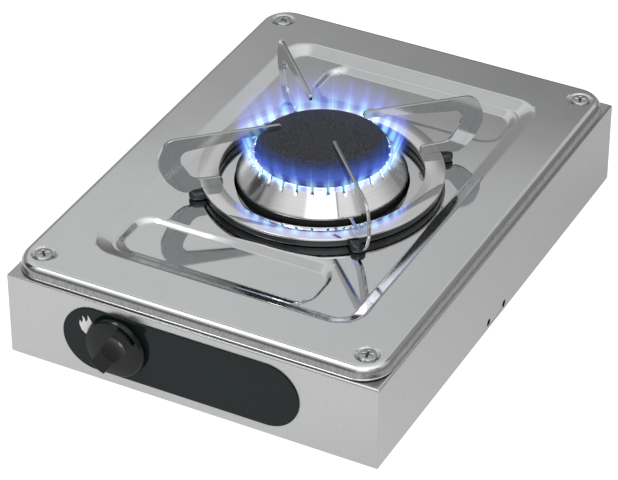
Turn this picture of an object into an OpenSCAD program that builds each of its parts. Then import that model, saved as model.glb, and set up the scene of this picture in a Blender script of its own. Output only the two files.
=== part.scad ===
// Single-burner table-top gas hob in folded stainless sheet.
// Millimetres, +Z up. The origin lies on the table, under the burner's axis, at the middle of the
// casing's footprint. The control panel faces -Y and the gas inlet faces +Y.

/* [Casing] */
// Width of the casing, left to right
case_w = 233; // [225:1:260]
// Depth of the casing, front to rear
case_d = 320; // [312:1:360]
// Height of the casing's wall
case_h = 54.5; // [53:0.5:64]
// Thickness of the sheet of the casing, the pan and the base plate
sheet_t = 0.8; // [0.6:0.1:1.2]
// Outer radius of the casing's folded edges
bend_r = 1.6; // [1.4:0.1:2.4]
// Width of the inward flange that carries the pan
top_flange = 24; // [20:0.5:26]
// Width of the inward flange along the bottom
bottom_flange = 12; // [11:0.5:16]
// Diameter of the two fixing holes in the right wall
side_hole_d = 4.5; // [3:0.1:6]
// Distance between the two fixing holes
side_hole_pitch = 21; // [12:1:60]
// Height of the fixing holes above the casing's lower edge
side_hole_rise = 5; // [4.5:0.5:12]
// Middle of the pair of fixing holes, in front of (-) or behind (+) the burner's axis
side_hole_y = -5.5; // [-40:0.5:40]

/* [Base and feet] */
// Height of the rubber pad under the base plate
foot_h = 4.8; // [4:0.2:12]
// Diameter of the rubber pad
foot_d = 18; // [12:0.5:24]
// Diameter of the foot's neck, through the base plate
foot_neck_d = 6; // [4:0.5:8]
// Distance of a foot's middle from the casing's walls
foot_inset = 32; // [28:1:45]
// Width of a cooling slot in the base plate
slot_w = 5; // [3:0.5:8]
// Length of a cooling slot
slot_len = 40; // [20:1:60]
// Number of cooling slots in each of the two rows
slot_count = 7; // [3:1:8]

/* [Pan] */
// Distance of the pan's skirt from the casing's wall
pan_inset = 1.3; // [1:0.1:3]
// Height of the pan's top above the casing's flange
pan_rise = 8.3; // [7.5:0.1:12]
// Corner radius of the pan, in plan
pan_corner_r = 18; // [12:0.5:24]
// Radius of the pan's top edge
pan_edge_r = 3; // [2:0.25:4]
// Gap between the pan's skirt and the casing's flange
skirt_gap = 0.3; // [0.2:0.1:0.6]
// Rim left around the recess, at the sides
rim_side = 32; // [29:0.5:36]
// Rim left around the recess, at the front and rear
rim_end = 31.5; // [29:0.5:36]
// Depth of the recess below the pan's top
recess_depth = 3.4; // [2:0.2:4.4]
// Run of the recess's sloping wall for each millimetre of depth
recess_run = 2.8; // [1.5:0.1:3.4]
// Corner radius of the recess, at the top
recess_corner_r = 17; // [16:0.5:24]
// Depth of the two spill troughs below the recess's floor
trough_depth = 2.1; // [1:0.1:2.6]
// Distance of a trough's inner edge from the burner's axis
trough_inner = 83.5; // [80:0.5:92]
// Reach of a trough's short end past the middle of the pan
trough_end = 51.5; // [30:0.5:60]
// Run of a trough's steep inner walls
trough_step = 2.6; // [1:0.2:5]
// Corner radius of a trough, in plan
trough_corner_r = 14; // [6:0.5:16]
// Diameter of the burner's hole in the pan
pan_hole_d = 104; // [102:0.5:110]

/* [Pan screws] */
// Distance of a pan screw's axis from the casing's side wall
screw_from_side = 14.9; // [12:0.1:16]
// Distance of a pan screw's axis from the casing's front or rear wall
screw_from_end = 16.2; // [13:0.1:17]
// Thread diameter of the pan screws
pan_screw_d = 5; // [4:0.5:6]
// Head diameter of the pan screws
pan_head_d = 11; // [9:0.5:13]
// Head height of the pan screws
pan_head_h = 1.2; // [1:0.1:3]
// Length of a pan screw under its head
pan_screw_len = 15; // [14:0.5:18]
// Outer diameter of the spacers between flange and pan
spacer_d = 9; // [8:0.5:11]

/* [Control panel] */
// Length of the black control plate
plate_len = 149; // [120:1:160]
// Height of the control plate
plate_h = 41.3; // [30:0.5:44]
// Thickness of the control plate
plate_t = 1; // [0.5:0.1:1.5]
// Middle of the control plate, to the left (-) or right (+) of the burner's axis
plate_x = -5.8; // [-20:0.5:20]
// Middle of the control plate above the casing's lower edge
plate_rise = 28; // [26:0.5:30]

/* [Knob] */
// Distance of the knob's axis from the casing's left wall
knob_inset = 71.7; // [68:0.5:80]
// Knob axis above the casing's lower edge
knob_rise = 29.5; // [28.5:0.5:32]
// Diameter of the knob's disc at its rear face
knob_d = 37.6; // [34:0.2:39]
// Diameter of the knob's disc at its front face
knob_face_d = 35; // [31:0.2:37]
// Thickness of the knob's disc
knob_disc_t = 2.8; // [2:0.2:4]
// Height of the grip bar in front of the disc
knob_grip_h = 3.2; // [3:0.2:8]
// Width of the grip bar at its tail
knob_grip_w = 12.4; // [11:0.2:16]
// Width of the grip bar at its nose
knob_nose_w = 10.4; // [8:0.2:14]
// Depth of the finger scoop in the grip bar
knob_scoop = 1.4; // [0.5:0.1:1.6]
// Direction of the nose as the burner burns, anticlockwise from the right
knob_nose_angle = 235; // [90:1:300]
// Gap between the knob and the control plate, before the knob is pushed
knob_gap = 2.1; // [1.9:0.1:4]
// Diameter of the knob's hub
hub_d = 12; // [11:0.5:14]
// Clearance of the hub in the panel's hole, on the radius
hub_clear = 2; // [1:0.25:3]

/* [Gas tap] */
// Diameter of the tap's stem
stem_d = 6; // [5:0.5:6.5]
// Depth of the flat on the stem
stem_flat = 0.9; // [0.5:0.1:1.4]
// Diameter of the tap's barrel
tap_d = 22; // [20:0.5:24]
// Length of the tap's barrel
tap_len = 38; // [36:1:46]
// Front diameter of the tapered plug
plug_front_d = 13; // [12:0.5:14]
// Rear diameter of the tapered plug
plug_rear_d = 10; // [9:0.5:11]
// Length of the tapered plug
plug_len = 22; // [20:1:24]
// Radial clearance of the plug, the stem and the other turning fits
fit_clear = 0.06; // [0.04:0.01:0.1]
// Gas way through the plug and the tap
gas_way_d = 3.6; // [2:0.2:4.4]
// Distance between the two screws that hold the tap
tap_screw_pitch = 40; // [39:1:44]
// Thickness of the steel of the tap's bracket and the burner's bracket
bracket_t = 1.5; // [1:0.25:2]

/* [Pipes] */
// Outer diameter of the gas pipes
pipe_d = 8; // [6:0.5:9]
// Wall of the gas pipes
pipe_wall = 1; // [0.6:0.1:1.5]
// Bend radius of the gas pipes, at the middle of the pipe
pipe_bend_r = 15; // [13:1:18]
// Distance of the supply pipe from the casing's left wall
supply_inset = 31.5; // [28:0.5:34]
// Width across the flats of the pipe nuts
nut_af = 15; // [14.5:0.5:17]
// Length of a pipe nut
nut_len = 13; // [12:0.5:15]
// Thread diameter of the gas inlet
inlet_d = 13.2; // [12:0.1:14]
// Length of the gas inlet's thread behind its locknut
inlet_len = 8.8; // [8:0.2:20]

/* [Burner] */
// Diameter of the burner's cap
cap_d = 77; // [70:0.5:79]
// Thickness of the cap at its edge
cap_t = 3.4; // [3:0.1:5]
// Rise of the cap's dome
cap_dome = 1; // [0.5:0.1:3]
// Diameter of the crown at its flame ports
crown_top_d = 80.6; // [80:0.5:84]
// Diameter of the crown at its foot
crown_foot_d = 100.6; // [99:0.2:101]
// Height of the crown
crown_h = 15.6; // [14:0.2:20]
// Height of the crown's foot above the recess's floor
crown_rise = 4.6; // [3:0.2:6]
// Number of flame ports
port_count = 28; // [20:1:32]
// Width of a flame port
port_w = 1.5; // [1:0.1:2.5]
// Height of a flame port
port_h = 3.8; // [2.5:0.1:5]
// Wall of the crown
crown_wall = 2; // [1.6:0.1:3]
// Wall of the burner's cup
cup_wall = 2.6; // [2:0.1:3.2]
// Diameter of the burner's cup
cup_d = 98; // [96:0.2:98.4]
// Bore of the throat, in which gas and air mix
throat_d = 14; // [12:0.5:16]
// Gap between pieces that rest loosely on each other
seat_gap = 0.3; // [0.2:0.05:0.4]

/* [Pan support] */
// Bore of the polished ring
ring_in_d = 120; // [116:0.5:126]
// Width of the polished ring, from its bore to its rim
ring_w = 12; // [9:0.5:14]
// Thickness of the polished ring
ring_t = 1.3; // [1:0.1:2]
// Height of the black ring under the polished ring
base_ring_h = 5.2; // [4:0.2:8]
// Set-back of the black ring inside the polished ring's edges
base_ring_inset = 1; // [0.5:0.1:2]
// Length of the black ring's four lugs
lug_len = 8.8; // [6:0.2:9.4]
// Width of a lug
lug_w = 9; // [6:0.5:12]
// Thickness of the prongs' plate
prong_t = 2; // [1.5:0.1:3]
// Distance of a prong's tip from the burner's axis
prong_tip = 24.6; // [15:0.2:32]
// Reach of a prong's outer bend past the polished ring's rim
prong_overhang = 25.3; // [23:0.1:30]
// Height of the prongs' top edge above the polished ring
prong_rise = 35.4; // [32:0.2:46]
// Height of a prong's upper arm at its tip
prong_tip_h = 3.9; // [3:0.1:6]
// Height of a prong's upper arm at its outer bend
prong_arm_h = 9.4; // [7:0.2:11]
// Height of a prong's foot
prong_foot_h = 5.7; // [4:0.1:8]
// Turn of the pan support about the burner's axis, from the diagonals
support_turn = -2.2; // [-10:0.2:10]

/* [Hidden] */

$fn = 64;
EPS = 0.01;                 // small overshoot of a cut

// Standard fasteners
M4 = 4;                     // thread
M4_HEAD_D = 7.6;
M4_HEAD_H = 2.4;
M4_NUT_AF = 7;
M4_NUT_H = 3.2;
M5_NUT_AF = 8;
M5_NUT_H = 4;
M3 = 3;
M3_HEAD_D = 5.5;
M3_HEAD_H = 1.8;
HOLE_CLEAR = 0.15;          // clearance of a screw in its hole, on the radius

// Levels
case_z = foot_h - sheet_t;                  // lower edge of the casing
base_top = case_z + 2 * sheet_t;            // top of the base plate, which lies on the flange
case_top = case_z + case_h;
pan_top = case_top + pan_rise;
floor_z = pan_top - recess_depth;           // floor of the pan's recess, around the burner
crown_z = floor_z + crown_rise;             // foot of the crown
crown_top = crown_z + crown_h;
cap_z = crown_top + seat_gap;               // lower edge of the cap
base_ring_z = floor_z + seat_gap;
ring_z = base_ring_z + base_ring_h;         // underside of the polished ring
ring_top = ring_z + ring_t;
prong_top = ring_top + prong_rise;
axis_z = case_z + knob_rise;                // the tap, the pipes and the inlet share this level
knob_x = -case_w / 2 + knob_inset;

// Pan
pan_w = case_w - 2 * pan_inset;
pan_d = case_d - 2 * pan_inset;
pan_h = pan_rise - skirt_gap;
recess_w = case_w - 2 * rim_side;
recess_d = case_d - 2 * rim_end;
recess_s = recess_run * recess_depth;
TROUGH_LIP = 0.3;                           // shelf between a trough and the recess's wall
TROUGH_OVER = 1;                            // reach of a trough's cut above the recess's floor

// Screws of the pan and of the base
pan_screw_x = case_w / 2 - screw_from_side;
pan_screw_y = case_d / 2 - screw_from_end;
base_screw_x = case_w / 2 - sheet_t - bottom_flange / 2;
base_screw_y = case_d / 2 - 40;
foot_x = case_w / 2 - foot_inset;
foot_y = case_d / 2 - foot_inset;

// Front to rear along the tap: y grows towards the rear
panel_y = -case_d / 2;                      // outer face of the casing's front wall
wall_y = panel_y + sheet_t;                 // its inner face
plate_y = panel_y - plate_t;                // front face of the control plate
knob_y = plate_y - knob_gap;                // rear face of the knob's disc
knob_face_y = knob_y - knob_disc_t;
knob_front_y = knob_face_y - knob_grip_h;
KNOB_TRAVEL = 1.6;                          // push that frees the tap
hub_r = hub_d / 2;
panel_hole_d = hub_d + 2 * hub_clear;
HUB_BACK = 5.5;                             // reach of the hub behind the knob's disc
TAP_STANDOFF = 8.7;                         // from the inner wall to the front of the tap's flange
tap_y = wall_y + TAP_STANDOFF;
tap_end_y = tap_y + tap_len;
TAP_FLANGE_T = 4;
TAP_FLANGE_H = 22;
TAP_CAP_T = 3.2;                            // the tap's own cap
TAP_CAP_W = 29;
TAP_CAP_H = 19;
CAP_SCREW_X = 11.2;
CHAMBER_D = 15;                             // room for the collar and the spring
CHAMBER_LEN = 8.5;
plug_y = tap_y + CHAMBER_LEN;
plug_end_y = plug_y + plug_len;
SOCKET_LEN = 8;                             // depth of the stem's socket in the plug
COLLAR_D = 10;
COLLAR_T = 2;
collar_y = tap_y + seat_gap;
STEM_IN_KNOB = 2;                           // reach of the stem in front of the knob's rear face
stem_front_y = knob_y - STEM_IN_KNOB;
stem_end_y = plug_y + SOCKET_LEN - KNOB_TRAVEL - 1;
spring_y = collar_y + COLLAR_T + 0.1;
spring_end_y = plug_y - 0.1;
SPRING_WIRE = 0.8;
SPRING_TURNS = 3;
side_port_y = plug_y + plug_len / 2;        // the inlet's way into the plug
tap_side_x = knob_x - tap_d / 2;

// Unions: a threaded end, a nut over it, an olive, and the pipe's end in the bore
END_D = 11;                                 // thread of a union's fixed end
END_LEN = 9;
PIPE_IN = 4;                                // reach of a pipe into a fixed end
OLIVE_LEN = 3.4;
NUT_GRIP = 7.5;                             // reach of a pipe nut over a fixed end
pipe_r = pipe_d / 2;
end_bore_d = pipe_d + 2 * fit_clear;

// Gas inlet and supply pipe
supply_x = -case_w / 2 + supply_inset;
rear_y = case_d / 2;
INLET_HEX_AF = 19;
INLET_HEX_T = 5;
WASHER_T = 1.2;
LOCKNUT_T = 3.4;
RELIEF = 0.8;                               // groove between the locknut's thread and the inlet's
bulkhead_r = inlet_d / 2 + 0.4;             // thread under the locknut
inlet_hex_y = rear_y - sheet_t - WASHER_T - INLET_HEX_T;    // front face of the connector's hexagon
inlet_end_y = inlet_hex_y - END_LEN;                        // inner end of the connector
nut_back_y = rear_y + LOCKNUT_T;
tap_end_x = tap_side_x - END_LEN;                           // left end of the tap's side union

// Burner and feed pipe
BRACKET_DROP = 9;                           // from the pipes' level down to the bracket
BRACKET_INSET = 20;                         // keeps clear of what is screwed into the side holes
bracket_top = axis_z - BRACKET_DROP;
BRACKET_W = 36;
BRACKET_FOOT = 12;
bracket_hole_x = 22;
bracket_end_x = case_w / 2 - BRACKET_INSET;
CUP_SCREW_LEN = 8;                          // thread of a cup screw in its pillar
CUP_RISE = 7.5;                             // from the pipes' level up to the cup
cup_floor = axis_z + CUP_RISE;
CUP_FLOOR_T = 2.6;
AIR_HOLE_R = 5;
AIR_CIRCLE_R = 34;
cup_r = cup_d / 2;
boss_r = 10;
port_end_y = -boss_r - 22;                  // end of the cup's threaded port
cup_top = crown_z - seat_gap;
JET_AF = 7;
JET_TOP = 9;                                // reach of the injector above the cup's floor
MIX_GAP = 4;                                // from the injector's tip to the throat
bracket_screw_x = bracket_end_x - bracket_t - BRACKET_FOOT / 2;
bracket_screw_y = BRACKET_W / 2 - 6;

// Pan support
support_angles = [45, 135, 225, 315];
ring_out_d = ring_in_d + 2 * ring_w;
base_in_r = ring_in_d / 2 + base_ring_inset;
base_out_r = ring_out_d / 2 - base_ring_inset;
lug_reach = base_out_r + lug_len;
lug_h = base_ring_h - 0.4;
prong_reach = ring_out_d / 2 + prong_overhang;
prong_foot_r = ring_in_d / 2 - 0.5;
prong_step_r = ring_out_d / 2 + 0.4;
OUTER_BEND_R = 12;                          // upper outer bend of a prong
INNER_BEND_R = 5;
SIDE_R = 22;                                // sweep of a prong's outer side
TIP_R = 1.9;

// ---------------------------------------------------------------- shared shapes

// Rectangle with round corners, centred
module rrect(w, d, r) {
    square([w - 2 * r, d], center = true);
    square([w, d - 2 * r], center = true);
    for (x = [-1, 1], y = [-1, 1])
        translate([x * (w / 2 - r), y * (d / 2 - r)]) circle(r = r);
}

// Upright extrusion of a profile drawn in X and Z, from y0 to y1
module along_y(y0, y1) {
    translate([0, y1, 0]) rotate([90, 0, 0]) linear_extrude(y1 - y0) children();
}

// Extrusion of a profile drawn in Y and Z, from x0 to x1
module along_x(x0, x1) {
    translate([x0, 0, 0]) rotate([90, 0, 90]) linear_extrude(x1 - x0) children();
}

// Cylinder or cone with its axis along Y, from y0 to y1
module rod_y(x, z, y0, y1, r0, r1 = undef) {
    translate([x, y0, z]) rotate([-90, 0, 0])
        cylinder(h = y1 - y0, r1 = r0, r2 = is_undef(r1) ? r0 : r1);
}

module rod_x(y, z, x0, x1, r) {
    translate([x0, y, z]) rotate([0, 90, 0]) cylinder(h = x1 - x0, r = r);
}

module rod_z(x, y, z0, z1, r) {
    translate([x, y, z0]) cylinder(h = z1 - z0, r = r);
}

// Hexagonal prism along Z
module hex(af, h) {
    cylinder(h = h, d = af / cos(30), $fn = 6);
}

// Box with folded (round) top and bottom edges and sharp upright corners, standing on z = 0
module folded_box(w, d, h, r) {
    intersection() {
        along_y(-d / 2, d / 2) translate([0, h / 2]) rrect(w, h, r);
        along_x(-w / 2, w / 2) translate([0, h / 2]) rrect(d, h, r);
    }
}

// Section of the pan's skirt and its round top edge, drawn outwards from the corner's axis
module edge_section(r, h, edge) {
    square([r - edge, h]);
    square([r, h - edge]);
    translate([r - edge, h - edge]) circle(r = edge);
}

module skirt_section(r, h, edge, t) {
    difference() {
        edge_section(r, h, edge);
        translate([-1, -1]) square([r - edge, h - t + 1]);
        translate([0, -1]) edge_section(r - t, h - t + 1, edge - t);
    }
}

// Carries a section, drawn outwards from the corners' axes, round a rectangle w by d whose corners
// have the radius r, and fills the middle between z0 and z1
module round_rectangle(w, d, r, z0, z1) {
    x = w / 2 - r;
    y = d / 2 - r;
    for (s = [-1, 1]) {
        translate([x, s * y, 0]) rotate([0, 0, s * 45 - 45]) rotate_extrude(angle = 90) children();
        translate([-x, s * y, 0]) rotate([0, 0, 135 - s * 45]) rotate_extrude(angle = 90) children();
    }
    for (s = [0, 1]) rotate([0, 0, 180 * s]) {
        translate([x, y, 0]) rotate([90, 0, 0]) linear_extrude(2 * y) children();
        translate([-x, y, 0]) rotate([90, 0, 90]) linear_extrude(2 * x) children();
    }
    translate([-x, -y, z0]) cube([2 * x, 2 * y, z1 - z0]);
}

// Trapezium below z = 0, with its corners u0 and u1 at the top and runs s0 and s1 down its sides
module trapezium(u0, u1, s0, s1, depth, over) {
    polygon([[u0, over], [u0, 0], [u0 + s0, -depth], [u1 - s1, -depth], [u1, 0], [u1, over]]);
}

// Machine screw pointing down from its head's underside at z = 0
module screw(d, len, head_d, head_h) {
    translate([0, 0, -len]) cylinder(h = len + EPS, d = d);
    difference() {
        cylinder(h = head_h, d = head_d);
        for (a = [0, 90])
            rotate([0, 0, a]) translate([-head_d * 0.22, -head_d * 0.05, head_h * 0.45])
                cube([head_d * 0.44, head_d * 0.1, head_h]);
    }
}

module hex_nut(af, h, d) {
    difference() {
        hex(af, h);
        translate([0, 0, -EPS]) cylinder(h = h + 2 * EPS, r = d / 2 + HOLE_CLEAR / 2);
    }
}

// ---------------------------------------------------------------- casing, base and feet

module at_pan_screws() {
    for (x = [-1, 1], y = [-1, 1]) translate([x * pan_screw_x, y * pan_screw_y, 0]) children();
}

module at_base_screws() {
    for (x = [-1, 1], y = [-1, 1]) translate([x * base_screw_x, y * base_screw_y, 0]) children();
}

module at_bracket_screws() {
    for (x = [-1, 1], y = [-1, 1])
        translate([x * bracket_screw_x, y * bracket_screw_y, 0]) children();
}

module casing() {
    color("silver") difference() {
        translate([0, 0, case_z]) folded_box(case_w, case_d, case_h, bend_r);
        translate([0, 0, case_z + sheet_t])
            folded_box(case_w - 2 * sheet_t, case_d - 2 * sheet_t, case_h - 2 * sheet_t,
                       bend_r - sheet_t);
        // openings inside the two flanges
        translate([0, 0, case_top]) cube([case_w - 2 * top_flange, case_d - 2 * top_flange,
                                          4 * sheet_t], center = true);
        translate([0, 0, case_z]) cube([case_w - 2 * bottom_flange, case_d - 2 * bottom_flange,
                                        4 * sheet_t], center = true);
        // the hub's hole in the front, the inlet's hole in the rear
        rod_y(knob_x, axis_z, panel_y - 1, wall_y + 1, panel_hole_d / 2);
        rod_y(supply_x, axis_z, rear_y - sheet_t - 1, rear_y + 1, bulkhead_r + HOLE_CLEAR);
        for (s = [-1, 1])
            rod_x(side_hole_y + s * side_hole_pitch / 2, case_z + side_hole_rise,
                  case_w / 2 - sheet_t - 1, case_w / 2 + 1, side_hole_d / 2);
        at_pan_screws() rod_z(0, 0, case_top - sheet_t - 1, case_top + 1,
                              pan_screw_d / 2 + HOLE_CLEAR);
        at_base_screws() rod_z(0, 0, case_z - 1, base_top, M4 / 2 + HOLE_CLEAR);
    }
}

module base_plate() {
    w = case_w - 2 * (sheet_t + 0.5);
    d = case_d - 2 * (sheet_t + 0.5);
    slot_pitch = 2.6 * slot_w;
    color("silver") difference() {
        translate([0, 0, case_z + sheet_t]) linear_extrude(sheet_t) difference() {
            square([w, d], center = true);
            for (s = [-1, 1], i = [0 : slot_count - 1])
                translate([s * 50, (i - (slot_count - 1) / 2) * slot_pitch])
                    rrect(slot_len, slot_w, slot_w / 2 - EPS);
        }
        for (x = [-1, 1], y = [-1, 1])
            rod_z(x * foot_x, y * foot_y, case_z, base_top + 1, foot_neck_d / 2 + fit_clear);
        at_base_screws() rod_z(0, 0, case_z, base_top + 1, M4 / 2 + HOLE_CLEAR);
        at_bracket_screws() rod_z(0, 0, case_z, base_top + 1, M4 / 2 + HOLE_CLEAR);
    }
}

module rubber_feet() {
    barb_h = 3;
    barb_r = foot_neck_d / 2 + 1.2;
    color("dimgray") for (x = [-1, 1], y = [-1, 1])
        translate([x * foot_x, y * foot_y, 0]) {
            cylinder(h = 1, r1 = foot_d / 2 - 0.8, r2 = foot_d / 2);
            translate([0, 0, 1]) cylinder(h = foot_h - 1, d = foot_d);
            cylinder(h = base_top + 0.5, d = foot_neck_d);
            translate([0, 0, base_top]) cylinder(h = barb_h, r1 = barb_r, r2 = foot_neck_d / 2 - 0.6);
        }
}

// Screw heads lie under the bottom flange, and nuts on the base plate or on the bracket's feet
module base_screws() {
    color("lightgray") at_base_screws() translate([0, 0, case_z]) rotate([180, 0, 0])
        screw(M4, 2 * sheet_t + M4_NUT_H + 1, M4_HEAD_D, M4_HEAD_H);
}

module base_nuts() {
    color("gainsboro") at_base_screws() translate([0, 0, base_top]) hex_nut(M4_NUT_AF, M4_NUT_H, M4);
}

// ---------------------------------------------------------------- pan

// Dish of the pan's recess, with its top at z = 0 and a sloping wall all round
module recess(over) {
    r = recess_corner_r;
    round_rectangle(recess_w, recess_d, r, -recess_depth, over)
        polygon([[0, -recess_depth], [r - recess_s, -recess_depth], [r, 0], [r, over], [0, over]]);
}

// One spill trough, at the front, with its top at the recess's floor. It runs from the left wall
// past the middle, and the rear trough is the same form turned half round.
module trough(grow) {
    x0 = -recess_w / 2 + recess_s + TROUGH_LIP - grow;
    x1 = trough_end + grow;
    y0 = -recess_d / 2 + recess_s + TROUGH_LIP - grow;
    y1 = -trough_inner + grow;
    run = recess_run * trough_depth;
    intersection() {
        along_y(y0, y1) trapezium(x0, x1, run / 2, trough_step, trough_depth, TROUGH_OVER);
        along_x(x0, x1) trapezium(y0, y1, run, trough_step, trough_depth, TROUGH_OVER);
        translate([(x0 + x1) / 2, (y0 + y1) / 2, -trough_depth])
            linear_extrude(trough_depth + TROUGH_OVER) rrect(x1 - x0, y1 - y0, trough_corner_r + grow);
    }
}

module pressing(over, grow) {
    recess(over);
    for (a = [0, 180]) rotate([0, 0, a]) translate([0, 0, -recess_depth]) trough(grow);
}

module pan() {
    color("lightgray") difference() {
        union() {
            translate([0, 0, pan_top - pan_h])
                round_rectangle(pan_w, pan_d, pan_corner_r, pan_h - sheet_t, pan_h)
                    skirt_section(pan_corner_r, pan_h, pan_edge_r, sheet_t);
            translate([0, 0, pan_top - sheet_t]) pressing(EPS, sheet_t);
        }
        translate([0, 0, pan_top]) pressing(1, 0);
        rod_z(0, 0, floor_z - 3 * sheet_t, floor_z + 1, pan_hole_d / 2);
        at_pan_screws() rod_z(0, 0, pan_top - 2 * sheet_t, pan_top + 1,
                              pan_screw_d / 2 + HOLE_CLEAR);
    }
}

module pan_spacers() {
    color("gainsboro") at_pan_screws() difference() {
        rod_z(0, 0, case_top, pan_top - sheet_t, spacer_d / 2);
        rod_z(0, 0, case_top - 1, pan_top, pan_screw_d / 2 + HOLE_CLEAR);
    }
}

module pan_screws() {
    color("silver") at_pan_screws() translate([0, 0, pan_top])
        screw(pan_screw_d, pan_screw_len, pan_head_d, pan_head_h);
}

module pan_nuts() {
    color("gainsboro") at_pan_screws() translate([0, 0, case_top - sheet_t - M5_NUT_H])
        hex_nut(M5_NUT_AF + pan_screw_d - 5, M5_NUT_H, pan_screw_d);
}

// ---------------------------------------------------------------- control panel and knob

module control_plate() {
    color([0.16, 0.19, 0.19]) difference() {
        along_y(plate_y, panel_y) translate([plate_x, case_z + plate_rise])
            rrect(plate_len, plate_h, plate_h / 2 - EPS);
        rod_y(knob_x, axis_z, plate_y - 1, panel_y + 1, panel_hole_d / 2);
    }
}

// Stem's section: a circle with one flat, for the stem itself or, with a clearance, for its socket
module stem_section(clear) {
    intersection() {
        circle(r = stem_d / 2 + clear);
        translate([-stem_d, -stem_d]) square([2 * stem_d, 1.5 * stem_d - stem_flat + clear]);
    }
}

module stem_bar(y0, y1, clear = 0) {
    translate([knob_x, 0, axis_z]) along_y(y0, y1) rotate([0, 0, knob_nose_angle - 90])
        stem_section(clear);
}

// Grip bar's outline right across the knob's face, narrower towards the nose, with round ends
module grip_outline() {
    end_x = knob_face_d / 2 - 0.2;
    intersection() {
        polygon([[-end_x, -knob_grip_w / 2], [end_x, -knob_nose_w / 2],
                 [end_x, knob_nose_w / 2], [-end_x, knob_grip_w / 2]]);
        circle(r = end_x);
    }
}

module knob() {
    scoop_r = 26;
    insert_r = stem_d / 2 + 2;
    color([0.05, 0.05, 0.06]) difference() {
        union() {
            rod_y(knob_x, axis_z, knob_face_y, knob_y, knob_face_d / 2, knob_d / 2);
            rod_y(knob_x, axis_z, knob_y - EPS, knob_y + HUB_BACK, hub_r);
            translate([knob_x, 0, axis_z]) along_y(knob_front_y, knob_face_y + EPS)
                rotate([0, 0, knob_nose_angle]) grip_outline();
        }
        rod_y(knob_x, axis_z, stem_front_y - 0.5, knob_y + HUB_BACK + 1, insert_r);
        // finger scoop, a shallow hollow across the middle of the bar
        translate([knob_x, knob_front_y - scoop_r + knob_scoop, axis_z])
            sphere(r = scoop_r, $fn = 96);
    }
}

// Steel insert with the stem's flat, pressed into the knob's hub
module knob_insert() {
    insert_r = stem_d / 2 + 2;
    color("lightgray") difference() {
        rod_y(knob_x, axis_z, stem_front_y - 0.5, knob_y + HUB_BACK - 0.4, insert_r - 0.02);
        stem_bar(stem_front_y - 0.2, knob_y + HUB_BACK + 1, fit_clear);
    }
}

// ---------------------------------------------------------------- gas tap

// Hat-shaped bracket, spot-welded inside the front wall, with the tap on its raised web
module tap_bracket() {
    web_y = tap_y - bracket_t;
    half = tap_d / 2 + 3;
    foot = 7;
    color("silver") difference() {
        along_x(knob_x - tap_screw_pitch / 2 - 7, knob_x + tap_screw_pitch / 2 + 7)
            translate([0, axis_z]) {
                translate([web_y, -half]) square([bracket_t, 2 * half]);
                for (s = [0, 1]) mirror([0, s]) {
                    translate([wall_y, half - bracket_t]) square([tap_y - wall_y, bracket_t]);
                    translate([wall_y, half - bracket_t]) square([bracket_t, foot]);
                }
            }
        along_y(web_y - 1, tap_y + 1) translate([knob_x, axis_z])
            rrect(TAP_CAP_W + 1.2, TAP_CAP_H + 1.2, TAP_CAP_H / 2);
        for (s = [-1, 1])
            rod_y(knob_x + s * tap_screw_pitch / 2, axis_z, web_y - 1, tap_y + 1,
                  M4 / 2 + HOLE_CLEAR);
    }
}

// Brass body: a flange, a barrel, and the fixed ends of two unions, at its side and its rear
module tap_body() {
    color([0.78, 0.63, 0.34]) difference() {
        union() {
            rod_y(knob_x, axis_z, tap_y, tap_end_y, tap_d / 2);
            along_y(tap_y, tap_y + TAP_FLANGE_T) translate([knob_x, axis_z])
                rrect(tap_screw_pitch + 10, TAP_FLANGE_H, 4);
            rod_x(side_port_y, axis_z, tap_end_x, knob_x - plug_front_d / 2 - 1, END_D / 2);
            rod_y(knob_x, axis_z, tap_end_y - EPS, tap_end_y + END_LEN, END_D / 2);
        }
        rod_y(knob_x, axis_z, tap_y - 1, plug_y, CHAMBER_D / 2);
        rod_y(knob_x, axis_z, plug_y - EPS, plug_end_y + 0.5,
              plug_front_d / 2 + fit_clear, plug_rear_d / 2 + fit_clear);
        // gas ways, with a mouth for each pipe
        rod_x(side_port_y, axis_z, tap_end_x - 1, knob_x, gas_way_d / 2);
        rod_x(side_port_y, axis_z, tap_end_x - 1, tap_end_x + PIPE_IN, end_bore_d / 2);
        rod_y(knob_x, axis_z, plug_end_y, tap_end_y + END_LEN + 1, gas_way_d / 2);
        rod_y(knob_x, axis_z, tap_end_y + END_LEN - PIPE_IN, tap_end_y + END_LEN + 1,
              end_bore_d / 2);
        for (s = [-1, 1]) {
            rod_y(knob_x + s * tap_screw_pitch / 2, axis_z, tap_y - 1, tap_y + TAP_FLANGE_T + 1,
                  M4 / 2 + HOLE_CLEAR);
            rod_y(knob_x + s * CAP_SCREW_X, axis_z, tap_y - 1, tap_y + TAP_FLANGE_T - 0.2,
                  M3 / 2 + fit_clear);
        }
    }
}

module tap_screws() {
    len = bracket_t + TAP_FLANGE_T + 2;
    color("gainsboro") for (s = [-1, 1])
        translate([knob_x + s * tap_screw_pitch / 2, tap_y - bracket_t, axis_z])
            rotate([90, 0, 0]) screw(M4, len, M4_HEAD_D, M4_HEAD_H);
}

// Tapered plug that opens and closes the gas way
module tap_plug() {
    color([0.82, 0.68, 0.38]) difference() {
        rod_y(knob_x, axis_z, plug_y, plug_end_y, plug_front_d / 2, plug_rear_d / 2);
        stem_bar(plug_y - 1, plug_y + SOCKET_LEN, fit_clear);
        rod_x(side_port_y, axis_z, knob_x - plug_front_d, knob_x, gas_way_d / 2);
        rod_y(knob_x, axis_z, side_port_y - gas_way_d / 2 - 0.5, plug_end_y + 1,
              gas_way_d / 2 + 0.4);
    }
}

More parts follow.
